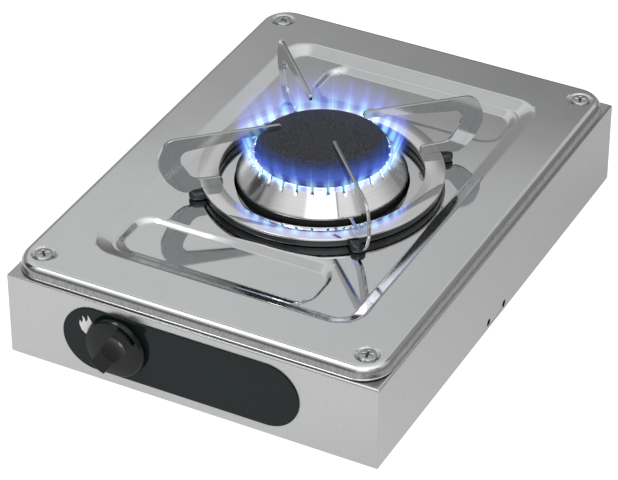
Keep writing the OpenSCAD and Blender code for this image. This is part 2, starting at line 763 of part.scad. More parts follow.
// Round rod with a collar, and a flat at each end for the knob's insert and for the plug
module tap_stem() {
    color("lightgray") difference() {
        union() {
            rod_y(knob_x, axis_z, stem_front_y, stem_end_y, stem_d / 2);
            rod_y(knob_x, axis_z, collar_y, collar_y + COLLAR_T, COLLAR_D / 2);
        }
        for (span = [[stem_front_y - 1, knob_y + HUB_BACK], [collar_y + COLLAR_T, stem_end_y + 1]])
            translate([knob_x, 0, axis_z]) along_y(span[0], span[1])
                rotate([0, 0, knob_nose_angle - 90])
                    translate([-stem_d, stem_d / 2 - stem_flat]) square([2 * stem_d, stem_d]);
    }
}

// Centre line of the spring, and its wire as a tube of 8 sides swept along it
function spring_point(t) =
    let (a = 360 * SPRING_TURNS * t, r = stem_d / 2 + SPRING_WIRE / 2 + 0.35,
         y0 = spring_y + SPRING_WIRE / 2, y1 = spring_end_y - SPRING_WIRE / 2)
    [r * cos(a), y0 + (y1 - y0) * t, r * sin(a)];

module tap_spring() {
    steps = 24 * SPRING_TURNS;
    sides = 8;
    ring = [for (i = [0 : steps]) let (t = i / steps, a = 360 * SPRING_TURNS * t)
        for (k = [0 : sides - 1])
            let (b = 360 * k / sides)
            spring_point(t) + SPRING_WIRE / 2 * [cos(b) * cos(a), sin(b), cos(b) * sin(a)]];
    walls = [for (i = [0 : steps - 1], k = [0 : sides - 1])
        let (n = (k + 1) % sides)
        [i * sides + k, i * sides + n, (i + 1) * sides + n, (i + 1) * sides + k]];
    caps = [[for (k = [sides - 1 : -1 : 0]) k], [for (k = [0 : sides - 1]) steps * sides + k]];
    color("silver") translate([knob_x, 0, axis_z]) polyhedron(points = ring, faces = concat(walls, caps));
}

module tap_cap() {
    groove_r = stem_d / 2 + fit_clear + 1.8;
    color([0.72, 0.58, 0.32]) difference() {
        along_y(tap_y - TAP_CAP_T, tap_y) translate([knob_x, axis_z])
            rrect(TAP_CAP_W, TAP_CAP_H, TAP_CAP_H / 2 - EPS);
        rod_y(knob_x, axis_z, tap_y - TAP_CAP_T - 1, tap_y + 1, stem_d / 2 + fit_clear);
        rod_y(knob_x, axis_z, tap_y - 2.2, tap_y - 0.4, groove_r);
        for (s = [-1, 1])
            rod_y(knob_x + s * CAP_SCREW_X, axis_z, tap_y - TAP_CAP_T - 1, tap_y + 1,
                  M3 / 2 + HOLE_CLEAR);
    }
}

module tap_cap_screws() {
    color("lightgray") for (s = [-1, 1])
        translate([knob_x + s * CAP_SCREW_X, tap_y - TAP_CAP_T, axis_z])
            rotate([90, 0, 0]) screw(M3, TAP_CAP_T + TAP_FLANGE_T - 0.6, M3_HEAD_D, M3_HEAD_H);
}

// O-ring round the stem, in the cap's groove
module stem_seal() {
    ring_r = 0.9;
    color("black") translate([knob_x, tap_y - 1.3, axis_z]) rotate([90, 0, 0])
        rotate_extrude() translate([stem_d / 2 + fit_clear + ring_r, 0]) circle(r = ring_r - EPS);
}

// ---------------------------------------------------------------- inlet and pipes

module inlet_connector() {
    color([0.78, 0.63, 0.34]) difference() {
        union() {
            rod_y(supply_x, axis_z, inlet_end_y, inlet_hex_y, END_D / 2);
            translate([supply_x, inlet_hex_y, axis_z]) rotate([-90, 0, 0])
                hex(INLET_HEX_AF, INLET_HEX_T);
            rod_y(supply_x, axis_z, inlet_hex_y + INLET_HEX_T, nut_back_y, bulkhead_r);
            rod_y(supply_x, axis_z, nut_back_y, nut_back_y + RELIEF, inlet_d / 2 - RELIEF);
            rod_y(supply_x, axis_z, nut_back_y + RELIEF, nut_back_y + RELIEF + inlet_len,
                  inlet_d / 2);
        }
        rod_y(supply_x, axis_z, inlet_end_y - 1, nut_back_y + RELIEF + inlet_len + 1,
              pipe_r - pipe_wall);
        rod_y(supply_x, axis_z, inlet_end_y - 1, inlet_end_y + PIPE_IN, end_bore_d / 2);
    }
}

module inlet_washer() {
    color("firebrick") difference() {
        rod_y(supply_x, axis_z, rear_y - sheet_t - WASHER_T, rear_y - sheet_t, bulkhead_r + 2.2);
        rod_y(supply_x, axis_z, inlet_hex_y, rear_y, bulkhead_r + HOLE_CLEAR);
    }
}

module inlet_locknut() {
    color([0.78, 0.63, 0.34]) difference() {
        translate([supply_x, rear_y, axis_z]) rotate([-90, 0, 0]) hex(INLET_HEX_AF, LOCKNUT_T);
        rod_y(supply_x, axis_z, rear_y - 1, nut_back_y + 1, bulkhead_r + fit_clear);
    }
}

// Quarter bend of a pipe in the level plane, about its centre, from angle a0
module pipe_bend(cx, cy, a0, r) {
    translate([cx, cy, axis_z]) rotate([0, 0, a0])
        rotate_extrude(angle = 90) translate([pipe_bend_r, 0]) circle(r = r);
}

// From the inlet forwards along the left wall, then a quarter bend into the tap's side
module supply_route(r, over) {
    rod_y(supply_x, axis_z, side_port_y + pipe_bend_r, inlet_end_y + PIPE_IN - 0.2 + over, r);
    pipe_bend(supply_x + pipe_bend_r, side_port_y + pipe_bend_r, 180, r);
    rod_x(side_port_y, axis_z, supply_x + pipe_bend_r, tap_end_x + PIPE_IN - 0.2 + over, r);
}

module supply_pipe() {
    color([0.72, 0.45, 0.3]) difference() {
        supply_route(pipe_r, 0);
        supply_route(pipe_r - pipe_wall, 1);
    }
}

// From the tap's rear to the burner's port, with two quarter bends
feed_y0 = tap_end_y + END_LEN - PIPE_IN + 0.2;
feed_bend_y = port_end_y - nut_len - 2 * pipe_bend_r;
module feed_route(r, over) {
    rod_y(knob_x, axis_z, feed_y0 - over, feed_bend_y, r);
    pipe_bend(knob_x + pipe_bend_r, feed_bend_y, 90, r);
    rod_x(feed_bend_y + pipe_bend_r, axis_z, knob_x + pipe_bend_r, -pipe_bend_r, r);
    pipe_bend(-pipe_bend_r, feed_bend_y + 2 * pipe_bend_r, 270, r);
    rod_y(0, axis_z, feed_bend_y + 2 * pipe_bend_r, port_end_y + PIPE_IN - 0.2 + over, r);
}

module feed_pipe() {
    color([0.72, 0.45, 0.3]) difference() {
        feed_route(pipe_r, 0);
        feed_route(pipe_r - pipe_wall, 1);
    }
}

// Places a union at each of the four pipe ends: its local +Z runs from the fixed end to the pipe
module at_unions() {
    translate([tap_end_x, side_port_y, axis_z]) rotate([0, -90, 0]) children();
    translate([supply_x, inlet_end_y, axis_z]) rotate([90, 0, 0]) children();
    translate([knob_x, tap_end_y + END_LEN, axis_z]) rotate([-90, 0, 0]) children();
    translate([0, port_end_y, axis_z]) rotate([90, 0, 0]) children();
}

module pipe_nuts() {
    color([0.8, 0.66, 0.36]) at_unions() difference() {
        translate([0, 0, -NUT_GRIP]) hex(nut_af, nut_len);
        translate([0, 0, -NUT_GRIP - 1])
            cylinder(h = NUT_GRIP + 1 + OLIVE_LEN, r = END_D / 2 + fit_clear);
        cylinder(h = nut_len, r = pipe_r + fit_clear);
    }
}

module pipe_olives() {
    color([0.85, 0.72, 0.42]) at_unions() difference() {
        cylinder(h = OLIVE_LEN - 0.1, r = END_D / 2 - 0.1);
        translate([0, 0, -1]) cylinder(h = OLIVE_LEN + 2, r = pipe_r + fit_clear);
    }
}

// ---------------------------------------------------------------- burner

// Bridge across the casing: a level web, with two legs and feet on the base plate at each end
module burner_bracket() {
    color("silver") difference() {
        along_y(-BRACKET_W / 2, BRACKET_W / 2) {
            translate([-bracket_end_x, bracket_top - bracket_t])
                square([2 * bracket_end_x, bracket_t]);
            for (s = [0, 1]) mirror([s, 0]) {
                translate([bracket_end_x - bracket_t, base_top])
                    square([bracket_t, bracket_top - base_top]);
                translate([bracket_end_x - bracket_t - BRACKET_FOOT, base_top])
                    square([BRACKET_FOOT + bracket_t, bracket_t]);
            }
        }
        at_bracket_screws() rod_z(0, 0, base_top - 1, base_top + bracket_t + 1,
                                  M4 / 2 + HOLE_CLEAR);
        for (s = [-1, 1])
            rod_z(s * bracket_hole_x, 0, bracket_top - bracket_t - 1, bracket_top + 1,
                  M4 / 2 + HOLE_CLEAR);
    }
}

module bracket_screws() {
    color("lightgray") at_bracket_screws() translate([0, 0, base_top - sheet_t])
        rotate([180, 0, 0]) screw(M4, sheet_t + bracket_t + M4_NUT_H + 1, M4_HEAD_D, M4_HEAD_H);
}

module bracket_nuts() {
    color("gainsboro") at_bracket_screws() translate([0, 0, base_top + bracket_t])
        hex_nut(M4_NUT_AF, M4_NUT_H, M4);
}

// Cast cup: a bowl with air holes, a boss for the injector, two pillars and a threaded port
module burner_cup() {
    color([0.15, 0.15, 0.15]) difference() {
        union() {
            rod_z(0, 0, cup_floor, cup_top, cup_r);
            rod_z(0, 0, bracket_top, cup_floor + EPS, boss_r);
            for (s = [-1, 1])
                rod_z(s * bracket_hole_x, 0, bracket_top, cup_floor + EPS, 5.5);
            rod_y(0, axis_z, port_end_y, 0, END_D / 2);
        }
        rod_z(0, 0, cup_floor + CUP_FLOOR_T, cup_top + 1, cup_r - cup_wall);
        rod_z(0, 0, axis_z - 1.5, cup_floor + CUP_FLOOR_T + 1, M5_NUT_AF / 2 - 1);
        rod_y(0, axis_z, port_end_y - 1, 0, gas_way_d / 2);
        rod_y(0, axis_z, port_end_y - 1, port_end_y + PIPE_IN, end_bore_d / 2);
        for (s = [-1, 1])
            rod_z(s * bracket_hole_x, 0, bracket_top - 1, bracket_top + CUP_SCREW_LEN + 1,
                  M4 / 2 + fit_clear);
        for (i = [0 : 7])
            rotate([0, 0, 22.5 + 45 * i])
                rod_z(AIR_CIRCLE_R, 0, cup_floor - 1, cup_floor + CUP_FLOOR_T + 1, AIR_HOLE_R);
    }
}

module cup_screws() {
    color("lightgray") for (s = [-1, 1])
        translate([s * bracket_hole_x, 0, bracket_top - bracket_t]) rotate([180, 0, 0])
            screw(M4, bracket_t + CUP_SCREW_LEN, M4_HEAD_D, M4_HEAD_H);
}

// Brass jet, screwed into the cup's boss
module injector() {
    thread_r = M5_NUT_AF / 2 - 1 - fit_clear;
    top = cup_floor + CUP_FLOOR_T;
    color([0.85, 0.72, 0.42]) difference() {
        union() {
            rod_z(0, 0, axis_z + 3, top + EPS, thread_r);
            translate([0, 0, top]) hex(JET_AF, 4.5);
            translate([0, 0, top + 4.5]) cylinder(h = JET_TOP - 4.5, r1 = 2.6, r2 = 1.5);
        }
        rod_z(0, 0, axis_z + 2, top + JET_TOP - 2, 1.2);
        rod_z(0, 0, axis_z + 2, top + JET_TOP + 1, 0.35);
    }
}

// Turned crown: a cone with flame ports round its top, a web and the mixing throat in its middle
module burner_crown() {
    foot_r = crown_foot_d / 2;
    top_r = crown_top_d / 2;
    throat_r = throat_d / 2;
    throat_z = cup_floor + CUP_FLOOR_T + JET_TOP + MIX_GAP;
    web_z = crown_top - port_h - 1.5 - crown_wall;
    spigot_r = cup_r - cup_wall - 0.4;
    spigot_z = crown_z - 5;
    color("gainsboro") difference() {
        rotate_extrude() polygon([
            [throat_r, throat_z], [throat_r + crown_wall, throat_z],
            [throat_r + crown_wall, web_z], [top_r - crown_wall, web_z],
            [spigot_r - crown_wall, crown_z + 2], [spigot_r - crown_wall, spigot_z],
            [spigot_r, spigot_z], [spigot_r, crown_z], [foot_r, crown_z], [foot_r, crown_z + 0.8],
            [top_r, crown_top - 1], [top_r, crown_top], [top_r - crown_wall, crown_top],
            [top_r - crown_wall, web_z + crown_wall], [throat_r, web_z + crown_wall]]);
        for (i = [0 : port_count - 1])
            rotate([0, 0, 360 * (i + 0.5) / port_count])
                translate([top_r - 2 * crown_wall, -port_w / 2, crown_top - port_h])
                    cube([4 * crown_wall, port_w, port_h + 1]);
    }
}

// Enamelled cap: a domed disc with a lip that keeps it centred in the crown
module burner_cap() {
    r = cap_d / 2;
    dome_r = (r * r + cap_dome * cap_dome) / (2 * cap_dome);
    lip_r = crown_top_d / 2 - crown_wall - 0.6;
    edge_r = 1.2;
    top = cap_z + cap_t + cap_dome;
    steps = 8;
    dome = [for (i = [0 : steps]) let (x = (r - edge_r) * i / steps)
        [x, top - dome_r + sqrt(dome_r * dome_r - x * x)]];
    color([0.14, 0.15, 0.15]) rotate_extrude() polygon(concat(dome,
        arc([r - edge_r, cap_z + cap_t - edge_r], edge_r, 75, 0, 5),
        [[r, cap_z], [lip_r, cap_z], [lip_r, cap_z - 1.5], [lip_r - 2, cap_z - 1.5],
         [lip_r - 2, cap_z], [0, cap_z]]));
}

// ---------------------------------------------------------------- pan support

module support_base_ring() {
    color([0.1, 0.1, 0.1]) difference() {
        union() {
            rod_z(0, 0, base_ring_z, ring_z, base_out_r);
            translate([0, 0, base_ring_z]) linear_extrude(lug_h)
                for (a = support_angles) rotate([0, 0, a + support_turn])
                    translate([lug_reach / 2, 0])
                        rrect(lug_reach, lug_w, lug_w / 2 - EPS);
        }
        rod_z(0, 0, base_ring_z - 1, ring_z + 1, base_in_r);
    }
}

module support_ring() {
    color("gainsboro") difference() {
        rod_z(0, 0, ring_z, ring_top, ring_out_d / 2);
        rod_z(0, 0, ring_z - 1, ring_top + 1, ring_in_d / 2);
    }
}

// Points of an arc about a centre, from angle a0 to angle a1
function arc(c, r, a0, a1, n = 10) =
    [for (i = [0 : n]) let (a = a0 + (a1 - a0) * i / n) c + r * [cos(a), sin(a)]];

// Hairpin outline of a prong, drawn in distance from the burner's axis and height. The lower arm
// lies on the polished ring and drops past its edge, the outer side sweeps up to the top bend, and
// the upper arm tapers towards its tip over the cap.
function prong_outline() =
    let (bottom = ring_top - 1.5,
         foot_top = ring_top + prong_foot_h,
         bend = [prong_reach - OUTER_BEND_R, prong_top - OUTER_BEND_R],
         sweep = [prong_reach - SIDE_R, bend[1] - 3],
         sweep_end = -65,
         arm_z = prong_top - prong_arm_h,
         inner = [prong_reach - 13.3 - INNER_BEND_R, arm_z - INNER_BEND_R],
         heel = [inner[0] - 7, foot_top + 6],
         tip_low = prong_top - prong_tip_h)
    concat(
        [[prong_foot_r + 1, ring_top], [prong_step_r, ring_top], [prong_step_r, bottom]],
        [[sweep[0] + SIDE_R * cos(sweep_end) - 5, bottom]],
        arc(sweep, SIDE_R, sweep_end, 0, 12),
        arc(bend, OUTER_BEND_R, 0, 90),
        arc([prong_tip + TIP_R, prong_top - TIP_R], TIP_R, 90, 180, 6),
        arc([prong_tip + TIP_R, tip_low + TIP_R], TIP_R, 180, 265, 6),
        arc(inner, INNER_BEND_R, 95, -35, 12),
        arc(heel, 6, -35, -90, 6),
        arc([prong_foot_r + 2.5, foot_top - 2.5], 2.5, 90, 180, 5),
        [[prong_foot_r, ring_top + 1]]);

module prong(angle) {
    color("silver") rotate([0, 0, angle + support_turn])
        along_y(-prong_t / 2, prong_t / 2) polygon(prong_outline());
}

module prong_rear_right() { prong(support_angles[0]); }
module prong_rear_left() { prong(support_angles[1]); }
module prong_front_left() { prong(support_angles[2]); }
module prong_front_right() { prong(support_angles[3]); }

// ---------------------------------------------------------------- nodes

casing();
base_plate();
rubber_feet();
base_screws();
base_nuts();
pan();
pan_spacers();
pan_screws();
pan_nuts();
control_plate();
knob();
knob_insert();
tap_bracket();
tap_body();
tap_screws();
tap_plug();
tap_stem();
tap_spring();
tap_cap();
tap_cap_screws();
stem_seal();
inlet_connector();
inlet_washer();
inlet_locknut();
supply_pipe();
feed_pipe();
pipe_nuts();
pipe_olives();
burner_bracket();
bracket_screws();
bracket_nuts();
burner_cup();
cup_screws();
injector();
burner_crown();
burner_cap();
support_base_ring();
support_ring();
prong_rear_right();
prong_rear_left();
prong_front_left();
prong_front_right();
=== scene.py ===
"""Looks of a single-burner table-top gas hob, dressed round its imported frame."""

import bpy
import numpy as np
from mathutils import Matrix, Vector


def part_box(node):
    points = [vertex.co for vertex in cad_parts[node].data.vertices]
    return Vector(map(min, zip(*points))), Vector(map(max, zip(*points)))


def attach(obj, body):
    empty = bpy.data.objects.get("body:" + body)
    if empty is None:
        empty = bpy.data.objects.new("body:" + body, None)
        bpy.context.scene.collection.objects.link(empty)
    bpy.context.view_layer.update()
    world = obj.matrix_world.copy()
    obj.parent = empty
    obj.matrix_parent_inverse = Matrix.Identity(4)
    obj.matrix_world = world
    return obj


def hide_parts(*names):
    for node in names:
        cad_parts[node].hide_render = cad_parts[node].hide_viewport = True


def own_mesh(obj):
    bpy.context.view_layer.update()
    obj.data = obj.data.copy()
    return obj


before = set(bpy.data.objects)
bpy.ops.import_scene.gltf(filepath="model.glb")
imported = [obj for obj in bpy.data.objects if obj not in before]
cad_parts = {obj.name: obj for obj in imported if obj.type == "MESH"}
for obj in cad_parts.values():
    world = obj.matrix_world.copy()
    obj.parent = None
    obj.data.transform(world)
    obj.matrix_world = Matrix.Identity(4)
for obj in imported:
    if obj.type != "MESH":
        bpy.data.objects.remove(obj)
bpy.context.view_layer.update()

MM = 0.001

# Forms are drawn in millimetres, +X to the right, +Y to the rear, +Z up from the table.

# pan: a half size runs from its middle, and a run is the width of a slope
PAN_TOP = 66.8
PAN_HALF = np.array([115.2, 158.7])
PAN_CORNER = 18.0
PAN_EDGE = 4.5
PAN_SKIRT = 58.8
PAN_HOLE = 51.4
HEM = 0.55
SHEET = 0.8
RECESS_HALF = np.array([84.5, 126.5])
RECESS_CORNER = 17.0
RECESS_DEPTH = 3.4
RECESS_RUN = 8.0
FLOOR = PAN_TOP - RECESS_DEPTH
TROUGH_FLOOR = FLOOR - 2.1
TROUGH_MIDDLE = np.array([-11.3, -97.5])
TROUGH_HALF = np.array([60.5, 15.1])
TROUGH_CORNER = 9.0
SCREW_AT = (101.6, 143.8)
SEAT_DEPTH = 0.7
SEAT_RADIUS = 7.3
SEAT_RUN = 1.6

# pan's grid: half side of the square round the hole, rings in to the hole, rings of the flat margin
HOLE_SQUARE = 62.0
HOLE_RINGS = 5
FLAT_RINGS = 16

# burner
CROWN_FOOT = 68.0
CROWN_TOP = 83.6
CROWN_FOOT_RADIUS = 50.3
CROWN_TOP_RADIUS = 40.3
FLAME_PORTS = 28
PORT_DEPTH = 3.8
PORT_HALF = 0.75
CAP_BOTTOM = 83.9
CAP_RADIUS = 38.5

# pan support
SUPPORT_TURN = -2.2
RING_IN, RING_OUT = 60.0, 72.0
RING_BOTTOM, RING_TOP = 68.9, 70.2
BASE_IN, BASE_OUT = 61.0, 71.0
BASE_BOTTOM = FLOOR + 0.3
LUG_IN, LUG_OUT, LUG_HALF = 66.0, 79.8, 4.5
PRONG_TOP = 105.6
PRONG_HALF = 1.0

# control plate, knob and tap
PLATE_HALF = (74.5, 20.65)
PLATE_X, PLATE_Z = -5.8, 32.0
PLATE_BACK, PLATE_FRONT = -160.0, -161.0
KNOB_X, KNOB_Z = -44.8, 33.5
KNOB_BACK = PLATE_FRONT - 2.1
KNOB_FOOT_RADIUS, KNOB_FACE_RADIUS = 18.8, 17.5
KNOB_THICK = 2.8
KNOB_TURN = 235
SPRING_RADIUS, SPRING_WIRE, SPRING_TURNS = 3.75, 0.8, 3

# painted marks: height of the flame, and place of its foot as (x, z)
PLATE_MARK, PLATE_MARK_AT = 13.5, (-63.8, 34.5)
KNOB_MARK, KNOB_MARK_AT = 4.6, (-37.4, 40.4)
KNOB_MARK_LOW, KNOB_MARK_HIGH = 5.2, 5.93
PAINT = 0.06


# ------------------------ mesh helpers


def grid_quads(rows, cols, wrap_rows=False, wrap_cols=False, start=0, flip=False):
    """Four-cornered faces between neighbours of a rows by cols grid, numbered row by row from start."""
    i, j = np.meshgrid(
        np.arange(rows if wrap_rows else rows - 1),
        np.arange(cols if wrap_cols else cols - 1),
        indexing="ij",
    )
    down, right = (i + 1) % rows, (j + 1) % cols
    quads = np.stack(
        [i * cols + j, i * cols + right, down * cols + right, down * cols + j], -1
    ).reshape(-1, 4)
    return (quads[:, ::-1] if flip else quads) + start


class Form:
    """Points and faces of one piece, gathered part by part, in millimetres."""

    def __init__(self):
        self.points, self.faces, self.count = [], [], 0

    def add(self, points, faces):
        """Adds a part whose faces number its own points from 0."""
        points = np.asarray(points, float).reshape(-1, 3)
        self.faces += [tuple(int(k) + self.count for k in f) for f in faces]
        self.points.append(points)
        self.count += len(points)
        return self

    def join(self, other):
        """Adds all of another form."""
        return self.add(np.concatenate(other.points), other.faces)

    def moved(self, turn, shift=(0, 0, 0)):
        """A copy, turned by a 3 by 3 matrix and then shifted."""
        return Form().add(np.concatenate(self.points) @ turn.T + shift, self.faces)


def spin_z(degrees):
    """Matrix that turns about the upright axis."""
    a = np.radians(degrees)
    return np.array([[np.cos(a), -np.sin(a), 0], [np.sin(a), np.cos(a), 0], [0, 0, 1]])


# Turns a form made round +Z so that its axis points at the user, along -Y, and its +Y points up
TO_FRONT = np.array([[1.0, 0, 0], [0, 0, -1.0], [0, 1.0, 0]])


def to_front(form, x, z, y):
    """Stands a form, drawn from its back at height 0, against a plane facing the user."""
    return form.moved(TO_FRONT, (x, y, z))


def oblong(low, high):
    """Corners of a rectangle between its low and its high corner, anticlockwise."""
    return [low, (high[0], low[1]), high, (low[0], high[1])]


def rounded(points, radii, steps=8):
    """Closed outline with each corner replaced by an arc of its radius, tangent to both sides."""
    p = np.asarray(points, float)
    radii = np.broadcast_to(radii, len(p))
    out = []
    for k in range(len(p)):
        a, b, c = p[k - 1], p[k], p[(k + 1) % len(p)]
        u, v = (a - b) / np.linalg.norm(a - b), (c - b) / np.linalg.norm(c - b)
        half = np.arccos(np.clip(u @ v, -1, 1)) / 2
        reach = radii[k] / np.tan(half)
        middle = b + (u + v) / np.linalg.norm(u + v) * radii[k] / np.sin(half)
        s, e = b + u * reach - middle, b + v * reach - middle
        sweep = np.arctan2(s[0] * e[1] - s[1] * e[0], s @ e)
        t = np.linspace(0, 1, steps + 1)[:, None] * sweep
        out.append(middle + np.cos(t) * s + np.sin(t) * np.array([-s[1], s[0]]))
    return np.concatenate(out)


def revolved(profile, steps=192):
    """Carries a profile of (radius, height) round the upright axis. A profile that starts and ends on
    the axis is closed by two poles, and any other is a closed loop. It runs so that the solid lies on
    its left."""
    p = np.asarray(profile, float)
    is_loop = p[0, 0] > 0
    q = p if is_loop else p[1:-1]
    m = len(q)
    a = np.linspace(0, 2 * np.pi, steps, endpoint=False)[:, None]
    ring = np.stack([q[:, 0] * np.cos(a), q[:, 0] * np.sin(a), np.broadcast_to(q[:, 1], (steps, m))], -1)
    if is_loop:
        return Form().add(ring, grid_quads(steps, m, True, True, flip=True))
    points = np.concatenate([ring.reshape(-1, 3), [[0, 0, p[0, 1]], [0, 0, p[-1, 1]]]])
    k = np.arange(steps)
    low, high = steps * m, steps * m + 1
    faces = [tuple(f) for f in grid_quads(steps, m, True, False, flip=True)]
    faces += [(low, n * m, i * m) for i, n in zip(k, (k + 1) % steps)]
    faces += [(high, i * m + m - 1, n * m + m - 1) for i, n in zip(k, (k + 1) % steps)]
    return Form().add(points, faces)


def outward(outline):
    """Unit normals of a closed outline, at its points, pointing out of an anticlockwise one."""
    step = np.roll(outline, -1, 0) - np.roll(outline, 1, 0)
    n = np.stack([step[:, 1], -step[:, 0]], -1)
    return n / np.linalg.norm(n, axis=1, keepdims=True)


def slab(outline, low, high, edge, steps=3):
    """Flat plate between two heights with a rounded rim: rings of the outline, drawn in by the edge's
    quarter circle above and below, closed by one face on each side. The outline is anticlockwise."""
    outline = np.asarray(outline, float)
    n = outward(outline)
    t = np.linspace(0, np.pi / 2, steps + 1)
    draw = np.concatenate([edge * (1 - np.sin(t)), edge * (1 - np.cos(t))])
    height = np.concatenate([low + edge * (1 - np.cos(t)), high - edge * (1 - np.sin(t))])
    rings = np.stack(
        [np.column_stack([outline - n * d, np.full(len(outline), h)]) for d, h in zip(draw, height)]
    )
    m, c = len(draw), len(outline)
    faces = [tuple(f) for f in grid_quads(m, c, False, True)]
    faces += [tuple(range(c))[::-1], tuple(range((m - 1) * c, m * c))]
    return Form().add(rings, faces)


def make_piece(name, form, finish, body, replaces=(), normals=None):
    """Blender object of a form, smooth but for its large flat faces, riding on a body of the frame."""
    points = np.concatenate(form.points) * MM
    mesh = bpy.data.meshes.new(name)
    mesh.from_pydata(points.tolist(), [], form.faces)
    mesh.polygons.foreach_set("use_smooth", [len(f) <= 4 for f in form.faces])
    mesh.materials.append(finish)
    mesh.validate()
    if normals is not None:
        mesh.normals_split_custom_set_from_vertices(normals.tolist())
    mesh.update()
    piece = bpy.data.objects.new(name, mesh)
    bpy.context.scene.collection.objects.link(piece)
    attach(piece, body)
    if replaces:
        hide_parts(*replaces)
    return piece


# ------------------------ shader helpers


def linked(tree, kind, settings=(), **inputs):
    """New shader node, with its inputs set from numbers or joined to other nodes' sockets. An input is
    named, or numbered as i0, i1 and so on."""
    n = tree.nodes.new(kind)
    for key, value in dict(settings).items():
        setattr(n, key, value)
    for key, value in inputs.items():
        socket = n.inputs[int(key[1:])] if key[0] == "i" and key[1:].isdigit() else n.inputs[key]
        if isinstance(value, bpy.types.NodeSocket):
            tree.links.new(value, socket)
        else:
            socket.default_value = value
    return n


def maths(tree, operation, *values):
    """Result of an arithmetic node on numbers or other nodes' sockets."""
    inputs = {f"i{k}": value for k, value in enumerate(values)}
    return linked(tree, "ShaderNodeMath", {"operation": operation}, **inputs).outputs["Value"]


def dot(tree, first, second):
    """Dot product of two vectors."""
    node = linked(tree, "ShaderNodeVectorMath", {"operation": "DOT_PRODUCT"}, i0=first, i1=second)
    return node.outputs["Value"]


def noise(tree, scale, detail=3.0):
    """Cloudy value between 0 and 1 on object coordinates. Its scale, in cells per metre, is one number or
    one for each axis."""
    scale = scale if isinstance(scale, tuple) else (scale, scale, scale)
    where = linked(tree, "ShaderNodeTexCoord").outputs["Object"]
    place = linked(tree, "ShaderNodeMapping", Vector=where, Scale=scale).outputs["Vector"]
    cloud = linked(tree, "ShaderNodeTexNoise", Vector=place, Scale=1.0, Detail=detail, Roughness=0.5)
    return cloud.outputs["Fac"]


def between(tree, value, low, high, start=0.3, end=0.7, soft=False):
    """Value carried from start..end to low..high, in a straight line or with soft ends."""
    curve = {"interpolation_type": "SMOOTHSTEP" if soft else "LINEAR"}
    out = linked(tree, "ShaderNodeMapRange", curve, Value=value)
    for k, v in zip(("From Min", "From Max", "To Min", "To Max"), (start, end, low, high)):
        out.inputs[k].default_value = v
    return out.outputs["Result"]


def mixed(tree, share, first, second, blend="MIX"):
    """Mix of two colours, each a value or another node's socket, by a share."""
    mix = linked(tree, "ShaderNodeMix", {"data_type": "RGBA", "blend_type": blend}, i0=share)
    for socket, value in zip([i for i in mix.inputs if i.type == "RGBA"], (first, second)):
        if isinstance(value, bpy.types.NodeSocket):
            tree.links.new(value, socket)
        else:
            socket.default_value = (*value, 1)
    return next(o for o in mix.outputs if o.type == "RGBA")


# ------------------------ finishes


def finish(name, dark, light, rough, scale, metal=1.0, bump=0.0, depth=0.02, **sockets):
    """Principled finish whose colour runs between two tones and whose roughness runs between two
    values with one noise, which also gives a slight relief."""
    m = bpy.data.materials.new(name)
    m.use_nodes = True
    tree = m.node_tree
    bsdf = tree.nodes["Principled BSDF"]
    bsdf.inputs["Metallic"].default_value = metal
    value = noise(tree, scale)
    tree.links.new(mixed(tree, between(tree, value, 0, 1), dark, light), bsdf.inputs["Base Color"])
    tree.links.new(between(tree, value, *rough), bsdf.inputs["Roughness"])
    if bump:
        relief = linked(tree, "ShaderNodeBump", Height=value, Strength=bump, Distance=depth * MM)
        tree.links.new(relief.outputs["Normal"], bsdf.inputs["Normal"])
    for key, v in sockets.items():
        bsdf.inputs[key.replace("_", " ")].default_value = v
    return m


def grey(v, tint=0.0):
    """Neutral grey, a little blue if tint is above 0."""
    return (v * (1 - tint), v, v * (1 + tint))


def pressed_steel():
    """Polished sheet steel, duller on the slopes that the press has drawn. Steep faces, the skirt among
    them,
    take a darker grey spotted by a noise: the spotting is a random tone, the darkness is painted shade."""
    m = finish(
        "pan_steel", grey(0.60, 0.01), grey(0.62, 0.01), (0.045, 0.07), 40, bump=0.08, depth=0.1
    )
    tree = m.node_tree
    bsdf = tree.nodes["Principled BSDF"]
    polish, colour = (bsdf.inputs[key].links[0].from_socket for key in ("Roughness", "Base Color"))
    where = linked(tree, "ShaderNodeTexCoord").outputs["Normal"]
    up = linked(tree, "ShaderNodeSeparateXYZ", Vector=where).outputs["Z"]
    drawn = between(tree, up, 1, 0, 0.50, 0.72)
    slope = between(tree, up, 0.06, 0.0, 0.93, 0.995)
    duller = maths(tree, "MULTIPLY_ADD", drawn, 0.12, slope)
    tree.links.new(maths(tree, "ADD", polish, duller), bsdf.inputs["Roughness"])
    # painted shade: steep faces take a darker grey, spotted by a noise, in place of the polished colour
    blotch = between(tree, noise(tree, (700, 700, 250), 4), 0, 1)
    painted_shade_mottle = mixed(tree, blotch, grey(0.22, 0.01), grey(0.33, 0.01))
    tree.links.new(mixed(tree, drawn, colour, painted_shade_mottle), bsdf.inputs["Base Color"])
    return m


def turned_aluminium():
    """Aluminium turned on a lathe, whose fine grooves run round the axis and draw each reflection out
    along the slope."""
    m = finish(
        "turned_aluminium", grey(0.74), grey(0.84), (0.15, 0.18), (30, 30, 4500), bump=0.05,
        Anisotropic=0.97, Anisotropic_Rotation=0.25,
    )
    tree = m.node_tree
    round_axis = linked(tree, "ShaderNodeTangent", {"direction_type": "RADIAL", "axis": "Z"})
    tree.links.new(round_axis.outputs["Tangent"], tree.nodes["Principled BSDF"].inputs["Tangent"])
    return m


